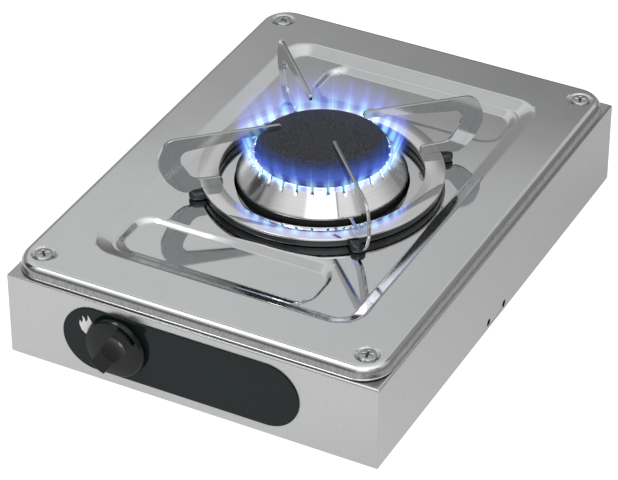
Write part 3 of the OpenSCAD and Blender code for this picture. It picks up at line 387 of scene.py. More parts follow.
SATIN = finish("satin_steel", grey(0.45), grey(0.475, 0.01), (0.27, 0.31), (1600, 1600, 60), bump=0.06)
PAN = pressed_steel()
RING = finish("polished_ring", grey(0.66), grey(0.70), (0.05, 0.08), 60)
PRONG = finish("prong_steel", grey(0.40, 0.01), grey(0.43, 0.01), (0.08, 0.12), 300, bump=0.03)
SCREW = finish("screw_steel", grey(0.40, 0.01), grey(0.46, 0.01), (0.2, 0.28), 500)
SHADOW = finish("cross_shadow", grey(0.012), grey(0.02), (0.5, 0.6), 900, metal=0.0)
TURNED = turned_aluminium()
CAP = finish(
    "cap_enamel", grey(0.0, 0.03), grey(0.050, 0.03), (0.38, 0.55), 1200, metal=0.0,
    bump=1.0, depth=0.12, Specular_IOR_Level=0.22,
)
ENAMEL = finish("gloss_enamel", grey(0.020, 0.1), grey(0.027, 0.1), (0.16, 0.24), 300, metal=0.0)
PLATE = finish(
    "plate_black", (0.006, 0.011, 0.011), (0.008, 0.013, 0.013), (0.12, 0.18), 900, metal=0.0,
    Specular_IOR_Level=0.16,
)
KNOB = finish(
    "knob_black", grey(0.003, 0.2), grey(0.005, 0.2), (0.06, 0.09), 400, metal=0.0,
    Specular_IOR_Level=0.25,
)
# painted shade: the grip's plastic is the disc's, copied darker and with weaker reflection
KNOB_GRIP_SHADED = finish(
    "knob_grip_black_painted_shade", grey(0.002, 0.2), grey(0.004, 0.2), (0.05, 0.08), 400, metal=0.0,
    Specular_IOR_Level=0.18,
)
MARK = finish("mark_white", grey(0.60), grey(0.68), (0.4, 0.5), 900, metal=0.0)
GREY_MARK = finish("mark_grey", grey(0.16), grey(0.2), (0.4, 0.5), 900, metal=0.0)
ZINC = finish("zinc_plate", grey(0.55, 0.01), grey(0.68, 0.01), (0.28, 0.42), 700)
BRASS = finish("brass", (0.66, 0.47, 0.20), (0.78, 0.58, 0.28), (0.22, 0.36), 500)
COPPER = finish("copper_pipe", (0.66, 0.33, 0.20), (0.78, 0.43, 0.28), (0.24, 0.38), 400)
RUBBER = finish("rubber", grey(0.02), grey(0.035), (0.7, 0.85), 800, metal=0.0, bump=0.3)
FIBRE = finish("fibre", (0.30, 0.05, 0.03), (0.42, 0.09, 0.06), (0.7, 0.8), 900, metal=0.0)
CASTING = finish("dark_casting", grey(0.012), grey(0.022), (0.35, 0.5), 500, metal=0.0, bump=0.3)

NODE_FINISH = {
    SATIN: ["casing", "base_plate"],
    PAN: ["pan", "pan_screws"],
    RING: ["support_ring"],
    PRONG: ["prong_rear_right", "prong_rear_left", "prong_front_left", "prong_front_right"],
    TURNED: ["burner_crown"],
    CAP: ["burner_cap"],
    ENAMEL: ["support_base_ring"],
    PLATE: ["control_plate"],
    KNOB: ["knob"],
    ZINC: [
        "base_screws", "base_nuts", "pan_spacers", "pan_nuts", "knob_insert", "tap_bracket", "tap_screws",
        "tap_stem", "tap_cap_screws", "burner_bracket", "bracket_screws", "bracket_nuts",
        "cup_screws",
    ],
    BRASS: [
        "tap_body", "tap_plug", "tap_cap", "inlet_connector", "inlet_locknut", "pipe_nuts", "pipe_olives",
        "injector",
    ],
    COPPER: ["supply_pipe", "feed_pipe"],
    RUBBER: ["rubber_feet", "stem_seal"],
    FIBRE: ["inlet_washer"],
    CASTING: ["burner_cup"],
}
for material, names in NODE_FINISH.items():
    for node_name in names:
        for node_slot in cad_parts[node_name].material_slots:
            node_slot.material = material


# ------------------------ pan


def eased(x, width):
    """0 below nothing and x above it, with the corner at 0 rounded over a width."""
    return np.where(x > width / 2, x, np.where(x < -width / 2, 0, (x + width / 2) ** 2 / (2 * width)))


def inside(x, y, half, corner):
    """Distance into a rectangle with round corners, negative outside it."""
    qx, qy = np.abs(x) - (half[0] - corner), np.abs(y) - (half[1] - corner)
    return corner - np.hypot(np.maximum(qx, 0), np.maximum(qy, 0)) - np.minimum(np.maximum(qx, qy), 0)


def lower_of(a, b, blend):
    """Smaller of two heights, with the crease between them rounded."""
    h = np.maximum(blend - np.abs(a - b), 0) / blend
    return np.minimum(a, b) - h * h * blend / 4


def trough_height(x, y):
    """Front spill trough, extended upwards past its rim: a flat floor inside an oblong with round
    corners, and walls that rise outwards, gently at the front and left and steeply at the right. The
    wall behind is steep at the left and eases off towards the right."""
    left, right, front, behind_least, behind_more = 0.60, 1.1, 0.40, 0.26, 0.29
    steep_from, steep_run, floor_bend = 2, 34, 1.2
    behind = behind_least + behind_more * np.clip((steep_from - x) / steep_run, 0, 1)
    dx, dy = x - TROUGH_MIDDLE[0], y - TROUGH_MIDDLE[1]
    ex = np.sign(dx) * np.maximum(np.abs(dx) - TROUGH_HALF[0] + TROUGH_CORNER, 0)
    ey = np.sign(dy) * np.maximum(np.abs(dy) - TROUGH_HALF[1] + TROUGH_CORNER, 0)
    far = np.hypot(ex, ey) + 1e-9
    slope_x = np.where(ex < 0, left, right)
    slope_y = np.where(ey < 0, front, behind)
    slope = (slope_x * ex**2 + slope_y * ey**2) / far**2
    return TROUGH_FLOOR + slope * eased(far - TROUGH_CORNER, floor_bend)


def dimple(x, y):
    """Depth of the round seats pressed into the pan's top under the screws."""
    r = np.hypot(np.abs(x) - SCREW_AT[0], np.abs(y) - SCREW_AT[1])
    t = np.clip((SEAT_RADIUS - r) / SEAT_RUN, 0, 1)
    return SEAT_DEPTH * t * t * (3 - 2 * t)


def pan_height(x, y):
    """Height of the pan's upper side: the top, the recess's sloping wall and floor, and two troughs,
    the rear one being the front one turned half round."""
    upper_bend, lower_bend, crease = 2.2, 1.6, 0.5
    d = inside(x, y, RECESS_HALF, RECESS_CORNER)
    z = PAN_TOP - RECESS_DEPTH * (eased(d, upper_bend) - eased(d - RECESS_RUN, lower_bend)) / RECESS_RUN
    z = lower_of(z, trough_height(x, y), crease)
    return lower_of(z, trough_height(-x, -y), crease) - dimple(x, y)


def pan_slope_normals(x, y):
    """Upward normals of the pan's upper side, from differences of its height."""
    e = 0.05
    gx = (pan_height(x + e, y) - pan_height(x - e, y)) / (2 * e)
    gy = (pan_height(x, y + e) - pan_height(x, y - e)) / (2 * e)
    n = np.stack([-gx, -gy, np.ones_like(gx)], -1)
    return n / np.linalg.norm(n, axis=-1, keepdims=True)


def stations(low, high, count, places, reach=2.0, weight=5.0):
    """Positions from low to high, closer together near the given places."""
    t = np.linspace(low, high, 4000)
    density = np.ones_like(t) + weight * sum(np.exp(-(((t - c) / reach) ** 2)) for c in places)
    total = np.concatenate([[0], np.cumsum((density[1:] + density[:-1]) / 2)])
    return np.interp(np.linspace(0, total[-1], count), total, t)


def pan_lines():
    """Grid lines across x and across y, closer together where the sheet bends: at the corners' centres,
    the recess's wall, the troughs' floors and the hole."""
    hx, hy = PAN_HALF - PAN_CORNER
    recess_x, recess_y = RECESS_HALF
    trough_y = -TROUGH_MIDDLE[1]
    side_x, middle_x, side_y, middle_y = 38, 50, 84, 40
    bends_x = np.array([hx, recess_x, recess_x - RECESS_RUN, 71])
    bends_y = np.array([
        hy, recess_y, recess_y - RECESS_RUN, trough_y + TROUGH_HALF[1], trough_y - TROUGH_HALF[1], 77
    ])
    xs = np.concatenate([
        stations(-hx, -HOLE_SQUARE, side_x, -bends_x)[:-1],
        stations(-HOLE_SQUARE, HOLE_SQUARE, middle_x, [-50, 50])[:-1],
        stations(HOLE_SQUARE, hx, side_x, bends_x),
    ])
    ys = np.concatenate([
        stations(-hy, -HOLE_SQUARE, side_y, -bends_y, 1.6)[:-1],
        stations(-HOLE_SQUARE, HOLE_SQUARE, middle_y, [])[:-1],
        stations(HOLE_SQUARE, hy, side_y, bends_y, 1.6),
    ])
    return xs, ys


def pan_field(xs, ys):
    """Pan's upper side on the grid: points, normals, the faces outside the square round the hole, and
    the square's border as pairs of row and column, anticlockwise."""
    gx, gy = np.meshgrid(xs, ys)
    square = np.array([-HOLE_SQUARE, HOLE_SQUARE]) - 1e-6
    (ix0, ix1), (iy0, iy1) = np.searchsorted(xs, square), np.searchsorted(ys, square)
    quads = grid_quads(len(ys), len(xs))
    row, col = np.divmod(quads[:, 0], len(xs))
    keep = ~((row >= iy0) & (row < iy1) & (col >= ix0) & (col < ix1))
    border = [(iy0, i) for i in range(ix0, ix1)] + [(j, ix1) for j in range(iy0, iy1)]
    border += [(iy1, i) for i in range(ix1, ix0, -1)] + [(j, ix0) for j in range(iy1, iy0, -1)]
    points = np.stack([gx, gy, pan_height(gx, gy)], -1)
    return points, pan_slope_normals(gx, gy), quads[keep], np.array(border)


def hole_rings(edge):
    """Flat rings that carry the points of the square's border in to the round hole."""
    circle = edge[:, :2] / np.linalg.norm(edge[:, :2], axis=1, keepdims=True) * PAN_HOLE
    t = np.linspace(0, 1, HOLE_RINGS)[:, None, None]
    rings = (1 - t) * edge[:, :2] + t * circle
    rings = np.concatenate([rings, np.full(rings.shape[:2] + (1,), FLOOR)], -1)
    rings[0, :, 2] = edge[:, 2]
    return rings


def fan(x, y, start, end, count=25):
    """A corner's centre with its outward directions, from a start to an end angle in degrees."""
    return [(x, y, np.cos(a), np.sin(a)) for a in np.radians(np.linspace(start, end, count))]


def pan_border(xs, ys):
    """Border of the whole grid as (x, y, outward x, outward y), anticlockwise from the front left, with
    a fan of directions at each corner."""
    hx, hy = PAN_HALF - PAN_CORNER
    front = [(x, -hy, 0.0, -1.0) for x in xs[:-1]] + fan(hx, -hy, -90, 0)
    right = [(hx, y, 1.0, 0.0) for y in ys[1:-1]] + fan(hx, hy, 0, 90)
    rear = [(x, hy, 0.0, 1.0) for x in xs[-2:0:-1]] + fan(-hx, hy, 90, 180)
    left = [(-hx, y, -1.0, 0.0) for y in ys[-2:0:-1]] + fan(-hx, -hy, 180, 269, 24)
    return np.array(front + right + rear + left)


def rim_profile():
    """Rim's profile as (distance out from the grid, height) and its normals: a flat margin, a quarter
    circle over the edge, the skirt, and the bulge of the rolled hem."""
    bend = np.radians(np.linspace(90, 0, 9))
    roll = np.radians(np.linspace(60, -60, 6))
    reach = PAN_CORNER - PAN_EDGE
    margin = stations(0, reach, FLAT_RINGS + 1, [3, 6, 9, 12], 1.5, 1)[:-1]
    profile = np.concatenate([
        np.column_stack([margin, np.full(FLAT_RINGS, PAN_TOP)]),
        np.column_stack([reach + PAN_EDGE * np.cos(bend), PAN_TOP - PAN_EDGE + PAN_EDGE * np.sin(bend)]),
        [[PAN_CORNER, PAN_SKIRT + 2.5], [PAN_CORNER, PAN_SKIRT + 1.5]],
        np.column_stack([PAN_CORNER + HEM * np.cos(roll), PAN_SKIRT + 0.15 + HEM + HEM * np.sin(roll)]),
    ])
    normals = np.concatenate([
        np.tile([0.0, 1.0], (FLAT_RINGS, 1)),
        np.column_stack([np.cos(bend), np.sin(bend)]),
        [[1.0, 0.0], [1.0, 0.0]],
        np.column_stack([np.cos(roll), np.sin(roll)]),
    ])
    return profile, normals


def pan_rim(xs, ys):
    """Rings of the rim: its profile carried round the grid's border, with normals. The flat margin
    follows the height of the upper side, which has the screws' seats in it."""
    border = pan_border(xs, ys)
    profile, normals = rim_profile()
    place, out = border[None, :, :2], border[None, :, 2:]
    shape = (len(profile), len(border), 1)
    rim = np.concatenate(
        [place + profile[:, None, :1] * out, np.broadcast_to(profile[:, None, 1:], shape)], -1
    )
    up = np.concatenate([normals[:, None, :1] * out, np.broadcast_to(normals[:, None, 1:], shape)], -1)
    flat = slice(0, FLAT_RINGS)
    rim[flat, :, 2] = pan_height(rim[flat, :, 0], rim[flat, :, 1])
    up[flat] = pan_slope_normals(rim[flat, :, 0], rim[flat, :, 1])
    return rim, up


def pan_form():
    """Pan as one closed sheet, with its normals: a grid of heights round a square, rings from that
    square in to the burner's hole, and the rim. The underside is the same surface, moved in by the
    sheet's thickness."""
    xs, ys = pan_lines()
    field, field_up, quads, border = pan_field(xs, ys)
    hole = hole_rings(field[border[:, 0], border[:, 1]])
    hole_up = np.zeros_like(hole)
    hole_up[..., 2] = 1
    rim, rim_up = pan_rim(xs, ys)
    top = np.concatenate([p.reshape(-1, 3) for p in (field, hole, rim)])
    up = np.concatenate([n.reshape(-1, 3) for n in (field_up, hole_up, rim_up)])
    hole_start = len(xs) * len(ys)
    rim_start = hole_start + HOLE_RINGS * len(border)
    base = len(top)
    faces = np.concatenate([
        quads,
        grid_quads(*hole.shape[:2], wrap_cols=True, start=hole_start),
        grid_quads(*rim.shape[:2], wrap_cols=True, start=rim_start, flip=True),
    ])
    hole_edge = np.arange(rim_start - hole.shape[1], rim_start)
    hem_edge = np.arange(base - rim.shape[1], base)
    under = top - up * SHEET
    under[hem_edge, 2] = top[hem_edge, 2]
    walls = []
    for loop, flip in ((hole_edge, False), (hem_edge, True)):
        following = np.roll(loop, -1)
        wall = np.stack([loop, following, following + base, loop + base], -1)
        walls.append(wall[:, ::-1] if flip else wall)
    all_faces = np.concatenate([faces, faces[:, ::-1] + base, *walls])
    form = Form().add(np.concatenate([top, under]), all_faces.tolist())
    return form, np.concatenate([up, -up])


pan_shape, pan_normals = pan_form()
pan = make_piece("pan_pressing", pan_shape, PAN, "hob", ["pan"], pan_normals)


# ------------------------ pan screws


def screw_head():
    """Flat head on a polar grid: a slight dome with a rolled edge, less a cross-shaped hollow."""
    radius, height, roll, hollow = 5.4, 1.2, 0.6, 0.9
    arm_long, arm_half, slices = 2.9, 0.6, 96
    r = np.concatenate([np.linspace(0.2, 3, 24), radius - 2.2 * np.linspace(1, 0, 16) ** 2])
    a = np.linspace(0, 2 * np.pi, slices, endpoint=False)[:, None]
    x, y = r * np.cos(a), r * np.sin(a)
    edge = np.clip(1 - (radius - r) / roll, 0, 1)
    dome = height - 0.25 * (r / radius) ** 2 - roll * (1 - np.sqrt(1 - edge**2))
    along_x = np.maximum(np.abs(x) / arm_long, np.abs(y) / arm_half)
    along_y = np.maximum(np.abs(y) / arm_long, np.abs(x) / arm_half)
    z = dome - hollow * np.clip((1.12 - np.minimum(along_x, along_y)) / 0.14, 0, 1)
    m = len(r)
    foot = np.stack([x[:, -1], y[:, -1], np.zeros(slices)], -1)
    middle = [[0, 0, height - hollow]]
    points = np.concatenate([np.stack([x, y, z], -1).reshape(-1, 3), foot, middle])
    low, pole = slices * m, slices * (m + 1)
    k = np.arange(slices)
    pairs = list(zip(k, (k + 1) % slices))
    faces = [tuple(f) for f in grid_quads(slices, m, wrap_rows=True)]
    faces += [(pole, i * m, n * m) for i, n in pairs]
    faces += [(i * m + m - 1, low + i, low + n, n * m + m - 1) for i, n in pairs]
    faces.append(tuple(low + k)[::-1])
    return Form().add(points, faces)


SCREW_TURNS = (((1, 1), 20), ((-1, 1), 65), ((-1, -1), 40), ((1, -1), 12))
# painted shadow: a dark slab of the cross's shape sits in each head's hollow, where its shade falls
head, heads, cross_shadows = screw_head(), Form(), Form()
arm = rounded(oblong((-2.8, -0.58), (2.8, 0.58)), 0.2, 3)
for (sx, sy), turn in SCREW_TURNS:
    place = (sx * SCREW_AT[0], sy * SCREW_AT[1], PAN_TOP - SEAT_DEPTH)
    heads.join(head.moved(spin_z(turn), place))
    for quarter, high in ((0, 0.62), (90, 0.61)):
        cross_shadows.join(slab(arm, 0.32, high, 0.05, 1).moved(spin_z(turn + quarter), place))
make_piece("pan_screw_heads", heads, SCREW, "hob", ["pan_screws"])
make_piece("pan_screw_cross_shadows", cross_shadows, SHADOW, "hob")


# ------------------------ burner


def cap_profile():
    """Cap's profile: the underside with its locating rib, the side with a round upper edge, and a dome
    that falls by 1 mm times the square of the radius over the edge's inner radius."""
    rib_in, rib_out, rib_low = 33.6, 35.6, CAP_BOTTOM - 1.5
    edge, edge_low = 1.0, CAP_BOTTOM + 2.4
    inner = CAP_RADIUS - edge
    under = [(0, CAP_BOTTOM), (rib_in, CAP_BOTTOM), (rib_in, rib_low), (rib_out, rib_low)]
    under += [(rib_out + 0.1, CAP_BOTTOM), (CAP_RADIUS - 0.4, CAP_BOTTOM), (CAP_RADIUS, CAP_BOTTOM + 0.4)]
    quarter = np.radians(np.linspace(0, 90, 7))
    side = [(inner + edge * np.cos(t), edge_low + edge * np.sin(t)) for t in quarter]
    dome = [(r, edge_low + edge + 1 - (r / inner) ** 2) for r in np.linspace(inner - 1, 0, 24)]
    return under + side + dome


make_piece("burner_cap_enamelled", revolved(cap_profile()), CAP, "cap", ["burner_cap"])


def crown_profile():
    """Crown's profile as a closed loop: the foot, the cone, the narrow top rim, and the hollow inside."""
    foot, top = CROWN_FOOT_RADIUS, CROWN_TOP_RADIUS
    cone, cone_low = foot - 0.25, CROWN_FOOT + 1.3
    skirt_out, skirt_in, skirt_low, neck = 46.0, 44.0, CROWN_FOOT - 5, 20
    rise = (CROWN_TOP - 1.6 - cone_low) / (cone - top)
    outside = [
        (skirt_out, skirt_low), (skirt_out, CROWN_FOOT), (foot - 0.3, CROWN_FOOT), (foot, CROWN_FOOT + 0.3),
        (foot, CROWN_FOOT + 0.8), (cone, cone_low),
    ]
    outside += [(r, cone_low + rise * (cone - r)) for r in np.linspace(49.5, top, 10)]
    rim = [(top, CROWN_TOP - 0.3), (top - 0.3, CROWN_TOP), (top - 1.7, CROWN_TOP)]
    hollow = [
        (top - 2.0, CROWN_TOP - 0.3), (top - 2.0, CROWN_TOP - 5), (neck, CROWN_TOP - 5),
        (neck, CROWN_TOP - 7), (skirt_in, CROWN_FOOT + 2), (skirt_in, skirt_low),
    ]
    return np.array(outside + rim + hollow)


def crown_form():
    """Crown's profile carried round the axis, with a top rim that drops into a notch at each flame
    port: the rim's height falls where the angle lies within half a port's width of a port's middle."""
    half_pitch = np.pi / FLAME_PORTS
    wall = PORT_HALF / CROWN_TOP_RADIUS
    local = np.concatenate([
        np.linspace(-half_pitch, -wall, 6)[:-1], [-wall, -wall * 0.96],
        np.linspace(-wall * 0.6, wall * 0.6, 6), [wall * 0.96, wall],
        np.linspace(wall, half_pitch, 6)[1:-1],
    ])
    a = ((np.arange(FLAME_PORTS)[:, None] * 2 + 1) * half_pitch + local).reshape(-1, 1)
    in_port = np.tile(np.abs(local) < wall * 0.99, FLAME_PORTS)
    profile = crown_profile()
    shape = (len(a), len(profile))
    z = np.broadcast_to(profile[:, 1], shape).copy()
    z[in_port[:, None] & (z > CROWN_TOP - PORT_DEPTH)] = CROWN_TOP - PORT_DEPTH
    points = np.stack([profile[:, 0] * np.cos(a), profile[:, 0] * np.sin(a), z], -1)
    return Form().add(points, grid_quads(*shape, True, True, flip=True))


make_piece("burner_crown_turned", crown_form(), TURNED, "crown", ["burner_crown"])


# ------------------------ pan support

ring = revolved(rounded(oblong((RING_IN, RING_BOTTOM), (RING_OUT, RING_TOP)), 0.35, 4), 256)
make_piece("support_ring_polished", ring, RING, "support", ["support_ring"])

base_corners = oblong((BASE_IN, BASE_BOTTOM), (BASE_OUT, RING_BOTTOM))
base = revolved(rounded(base_corners, [0.8, 1.6, 1.2, 0.8], 6), 256)
lug_outline = rounded(oblong((LUG_IN, -LUG_HALF), (LUG_OUT, LUG_HALF)), [0.5, 4.4, 4.4, 0.5], 12)
lug = slab(lug_outline, BASE_BOTTOM, RING_BOTTOM - 0.4, 1.6, 5)
for angle in (45, 135, 225, 315):
    base.join(lug.moved(spin_z(angle + SUPPORT_TURN)))
make_piece("support_base_enamelled", base, ENAMEL, "support", ["support_base_ring"])


def prong_outline():
    """Hairpin outline in distance from the axis and height above the table, anticlockwise."""
    corners = [
        (59.5, RING_TOP), (72.4, RING_TOP), (72.4, RING_TOP - 1.5), (81.8, RING_TOP - 1.9), (86.3, 70.0),
        (93.2, 77.6), (97.3, 86.6), (97.3, 94.5), (93.0, PRONG_TOP), (24.6, PRONG_TOP),
        (24.6, PRONG_TOP - 3.9), (84.5, 96.2), (84.3, 89.0), (77.0, 76.5), (59.5, 75.9),
    ]
    radii = [0.4, 0.3, 0.5, 6, 16, 16, 10, 9, 9, 1.6, 1.6, 5.2, 9, 7, 2.6]
    return rounded(corners, radii, 8)


prong = slab(prong_outline(), -PRONG_HALF, PRONG_HALF, 0.3).moved(TO_FRONT)
for angle, place in ((45, "rear_right"), (135, "rear_left"), (225, "front_left"), (315, "front_right")):
    plate = prong.moved(spin_z(angle + SUPPORT_TURN))
    make_piece(f"prong_{place}_plate", plate, PRONG, "support", [f"prong_{place}"])


# ------------------------ control plate and knob

stadium = rounded(oblong((-PLATE_HALF[0], -PLATE_HALF[1]), PLATE_HALF), 20.64, 24)
control_plate = to_front(slab(stadium, 0, PLATE_BACK - PLATE_FRONT, 0.35), PLATE_X, PLATE_Z, PLATE_BACK)
make_piece("control_plate_satin", control_plate, PLATE, "hob", ["control_plate"])


def knob_disc_form():
    """Disc that narrows towards its face. Heights run from the knob's back towards the user."""
    foot, face, thick = KNOB_FOOT_RADIUS, KNOB_FACE_RADIUS, KNOB_THICK
    profile = [
        (0, 0), (foot - 0.3, 0), (foot, 0.3), (foot - 0.15, 0.8), (face + 0.35, thick - 0.45),
        (face + 0.1, thick - 0.12), (face - 0.2, thick), (9, thick), (0, thick),
    ]
    return revolved(profile, 128)


def fine_ends(limit, outer, inner):
    """Positions from -1 to 1: inner ones between the limits, and outer ones, closer, beyond each."""
    return np.concatenate([
        np.linspace(-1, -limit, outer)[:-1], np.linspace(-limit, limit, inner),
        np.linspace(limit, 1, outer)[1:],
    ])


def knob_grip_form():
    """Grip bar right across the disc, u along it and v across it, whose ends follow the face's rim. Its
    top rolls off in a quarter circle at the outline, and a round finger hollow sinks it by its depth
    times 1 minus the square of the distance from the hollow's middle over its radius."""
    tall, roll, end = 6.0, 0.45, KNOB_FACE_RADIUS - 0.15
    hollow_u, hollow_radius, hollow_depth = -3.0, 8.4, 1.7
    s, w = fine_ends(0.96, 9, 60)[:, None], fine_ends(0.88, 8, 27)[None, :]
    half = 5.8 - 0.55 * s
    v = w * half
    u = s * np.sqrt(end**2 - v**2)
    gap = np.minimum(half * (1 - np.abs(w)), end - np.hypot(u, v))
    z = tall - roll + np.sqrt(np.maximum(roll**2 - np.maximum(roll - gap, 0) ** 2, 0))
    z = z - hollow_depth * np.clip(1 - ((u - hollow_u) ** 2 + v**2) / hollow_radius**2, 0, 1)
    top = np.stack([u, v, z], -1)
    n, m = z.shape
    ring = [(i, 0) for i in range(n)] + [(n - 1, j) for j in range(1, m)]
    ring += [(i, m - 1) for i in range(n - 2, -1, -1)] + [(0, j) for j in range(m - 2, 0, -1)]
    ring = np.array(ring)
    foot = top[ring[:, 0], ring[:, 1]].copy()
    foot[:, 2] = KNOB_THICK - 0.6
    rim = ring[:, 0] * m + ring[:, 1]
    low = n * m + np.arange(len(ring))
    faces = [tuple(f) for f in grid_quads(n, m, flip=True)]
    faces += [tuple(q) for q in np.stack([rim, low, np.roll(low, -1), np.roll(rim, -1)], -1)]
    faces.append(tuple(low)[::-1])
    return Form().add(np.concatenate([top.reshape(-1, 3), foot]), faces).moved(spin_z(KNOB_TURN))


knob_disc, knob_bar = (to_front(f, KNOB_X, KNOB_Z, KNOB_BACK) for f in (knob_disc_form(), knob_grip_form()))
make_piece("knob_disc", knob_disc, KNOB, "knob", ["knob"])
make_piece("knob_grip", knob_bar, KNOB_GRIP_SHADED, "knob")


# ------------------------ tap's spring


def coil(axis, low, high, mean_radius, wire, turns, steps=24, sides=8):
    """Closed coil of round wire about an axis along Y: a circle carried along a helix from low to high."""
    t = np.linspace(0, 1, turns * steps + 1)
    a, b = np.meshgrid(2 * np.pi * turns * t, np.arange(sides) * 2 * np.pi / sides, indexing="ij")
    away = mean_radius + wire / 2 * np.cos(b)
    along = low + wire / 2 + (high - low - wire) * t[:, None] + wire / 2 * np.sin(b)
    points = np.stack([axis[0] + away * np.cos(a), along, axis[1] + away * np.sin(a)], -1)
    faces = [tuple(f) for f in grid_quads(len(t), sides, wrap_cols=True)]
    ends = np.arange(sides)
    faces += [tuple(ends)[::-1], tuple(ends + (len(t) - 1) * sides)]
    return Form().add(points, faces)


# the coil is drawn at the length of the part's box; on the real tap it is pressed together, towards its
# seat on the plug, as the knob is pushed
spring_low, spring_high = (np.array(corner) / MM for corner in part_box("tap_spring"))
spring_form = coil(
    (KNOB_X, KNOB_Z), spring_low[1], spring_high[1], SPRING_RADIUS, SPRING_WIRE, SPRING_TURNS
)
tap_spring = make_piece("tap_spring_coil", spring_form, ZINC, "plug", ["tap_spring"])
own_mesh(tap_spring)


# ------------------------ flame marks


def flame_outline(size):
    """Plain flame mark: a round body that narrows to its foot, and five pointed tongues."""
    corners = np.array([
        (-0.02, 0), (0.12, 0.03), (0.30, 0.16), (0.38, 0.36), (0.34, 0.54), (0.42, 0.72), (0.28, 0.62),
        (0.22, 0.50), (0.20, 0.72), (0.02, 1.0), (0.02, 0.78), (-0.08, 0.60), (-0.12, 0.76), (-0.24, 0.90),
        (-0.22, 0.68), (-0.28, 0.52), (-0.38, 0.64), (-0.40, 0.40), (-0.30, 0.16), (-0.14, 0.03),
    ])
    radii = np.array([
        0.03, 0.1, 0.15, 0.15, 0.08, 0.005, 0.05, 0.01, 0.1, 0.005,
        0.1, 0.01, 0.08, 0.005, 0.1, 0.01, 0.005, 0.15, 0.15, 0.1,
    ])
    return rounded(corners * size, radii * size, 4)


plate_mark = slab(flame_outline(PLATE_MARK), 0, PAINT, PAINT / 3, 1)
plate_mark = to_front(plate_mark, *PLATE_MARK_AT, PLATE_FRONT)
make_piece("plate_flame_mark", plate_mark, MARK, "hob")
knob_mark = slab(flame_outline(KNOB_MARK), KNOB_MARK_LOW, KNOB_MARK_HIGH, PAINT / 3, 1)
knob_mark = to_front(knob_mark, *KNOB_MARK_AT, KNOB_BACK)
make_piece("knob_flame_mark", knob_mark, GREY_MARK, "knob")


# ------------------------ folded edges of the carried-over nodes

NODE_EDGES = {"casing": 0.5, "base_plate": 0.2, "inlet_locknut": 0.4, "inlet_connector": 0.3}
for node_name, width in NODE_EDGES.items():
    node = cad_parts[node_name]
    weld = node.modifiers.new("merge", "WELD")
    weld.merge_threshold = 0.01 * MM
    bevel = node.modifiers.new("edges", "BEVEL")
    bevel.width, bevel.segments, bevel.limit_method = width * MM, 3, "ANGLE"
    bevel.angle_limit = np.radians(50)
    bevel.harden_normals = True


# ------------------------ floor


def floor_paper():
    """White paper that glows: fully where the camera sees it, and less towards the right, a painted shade
    that the steel mirrors."""
    m = bpy.data.materials.new("floor_paper")
    m.use_nodes = True
    tree = m.node_tree
    paper = tree.nodes["Principled BSDF"]
    paper.inputs["Base Color"].default_value = (0.3, 0.3, 0.3, 1)
    paper.inputs["Roughness"].default_value = 0.9
    paper.inputs["Specular IOR Level"].default_value = 0.0
    paper.inputs["Emission Color"].default_value = (1, 1, 1, 1)
    spot = linked(tree, "ShaderNodeTexCoord").outputs["Object"]
    # painted shade: the glow that other rays meet falls off towards the right
    dim = between(tree, dot(tree, spot, (1, 0.6, 0)), 0.82, 0.43, -0.06, 0.22)
    seen = linked(tree, "ShaderNodeLightPath").outputs["Is Camera Ray"]
    tree.links.new(maths(tree, "MAXIMUM", dim, seen), paper.inputs["Emission Strength"])
    return m


FLOOR_SIDE = 6
floor_mesh = bpy.data.meshes.new("floor")
floor_corners = oblong((-FLOOR_SIDE, -FLOOR_SIDE), (FLOOR_SIDE, FLOOR_SIDE))
floor_mesh.from_pydata([(x, y, 0) for x, y in floor_corners], [], [(0, 1, 2, 3)])
floor_mesh.materials.append(floor_paper())
floor = bpy.data.objects.new("floor", floor_mesh)
bpy.context.scene.collection.objects.link(floor)


# ------------------------ flames

# power per unit of area at which a flat lamp shines with its node colours as they are
FLAME_POWER = 4.0

# foot and tip of the flames at the ports, and of their upper part over the cap, as (radius, height)
PORT_FLAME = ((41.5, 80.5), (51.0, 107.0))
CAP_FLAME = ((39.0, 87.0), (38.0, 103.0))

BLACK = (0, 0, 0)

# the pan isn't lit by the flames, so their small mirror images stay on the ring and the burner
dull_to_flames = bpy.data.collections.new("dull_to_flames")
dull_to_flames.objects.link(pan)
dull_to_flames.collection_objects[0].light_linking.link_state = "EXCLUDE"


def placed(right, up, back, place):
    """Matrix of an object at a place, whose own axes point along three given directions."""
    turn = Matrix(np.column_stack([right, up, back]).tolist()).to_4x4()
    return Matrix.Translation(place) @ turn


def fade(tree, value, start, end):
    """1 up to a start and 0 from an end on, with soft ends."""
    return between(tree, value, 1, 0, start, end, soft=True)


def flame_lamp(name, width, tall, streak, veil, streak_side, streak_top, veil_top):
    """Flat lamp that glows in the shape of one flame: a narrow streak up its middle inside a wide veil,
    each fading out upwards. Places on it run from 0 to 1."""
    data = bpy.data.lights.new(name, "AREA")
    data.shape, data.size, data.size_y = "RECTANGLE", width * MM, tall * MM
    data.energy = FLAME_POWER * width * tall * MM**2
    data.use_nodes = True
    tree = data.node_tree
    spot = linked(tree, "ShaderNodeNewGeometry").outputs["Parametric"]
    place = linked(tree, "ShaderNodeSeparateXYZ", Vector=spot)
    off = maths(tree, "ABSOLUTE", maths(tree, "SUBTRACT", place.outputs["X"], 0.5))
    up = place.outputs["Y"]
    foot = between(tree, up, 0, 1, 0.0, 0.08, soft=True)
    narrow = maths(tree, "MULTIPLY", fade(tree, off, *streak_side), fade(tree, up, *streak_top))
    wide = maths(tree, "MULTIPLY", fade(tree, off, 0.0, 0.5), fade(tree, up, *veil_top))
    core = mixed(tree, maths(tree, "MULTIPLY", narrow, foot), BLACK, streak)
    mantle = mixed(tree, maths(tree, "MULTIPLY", wide, foot), BLACK, veil)
    tree.links.new(mixed(tree, 1.0, core, mantle, "ADD"), tree.nodes["Emission"].inputs["Color"])
    return data


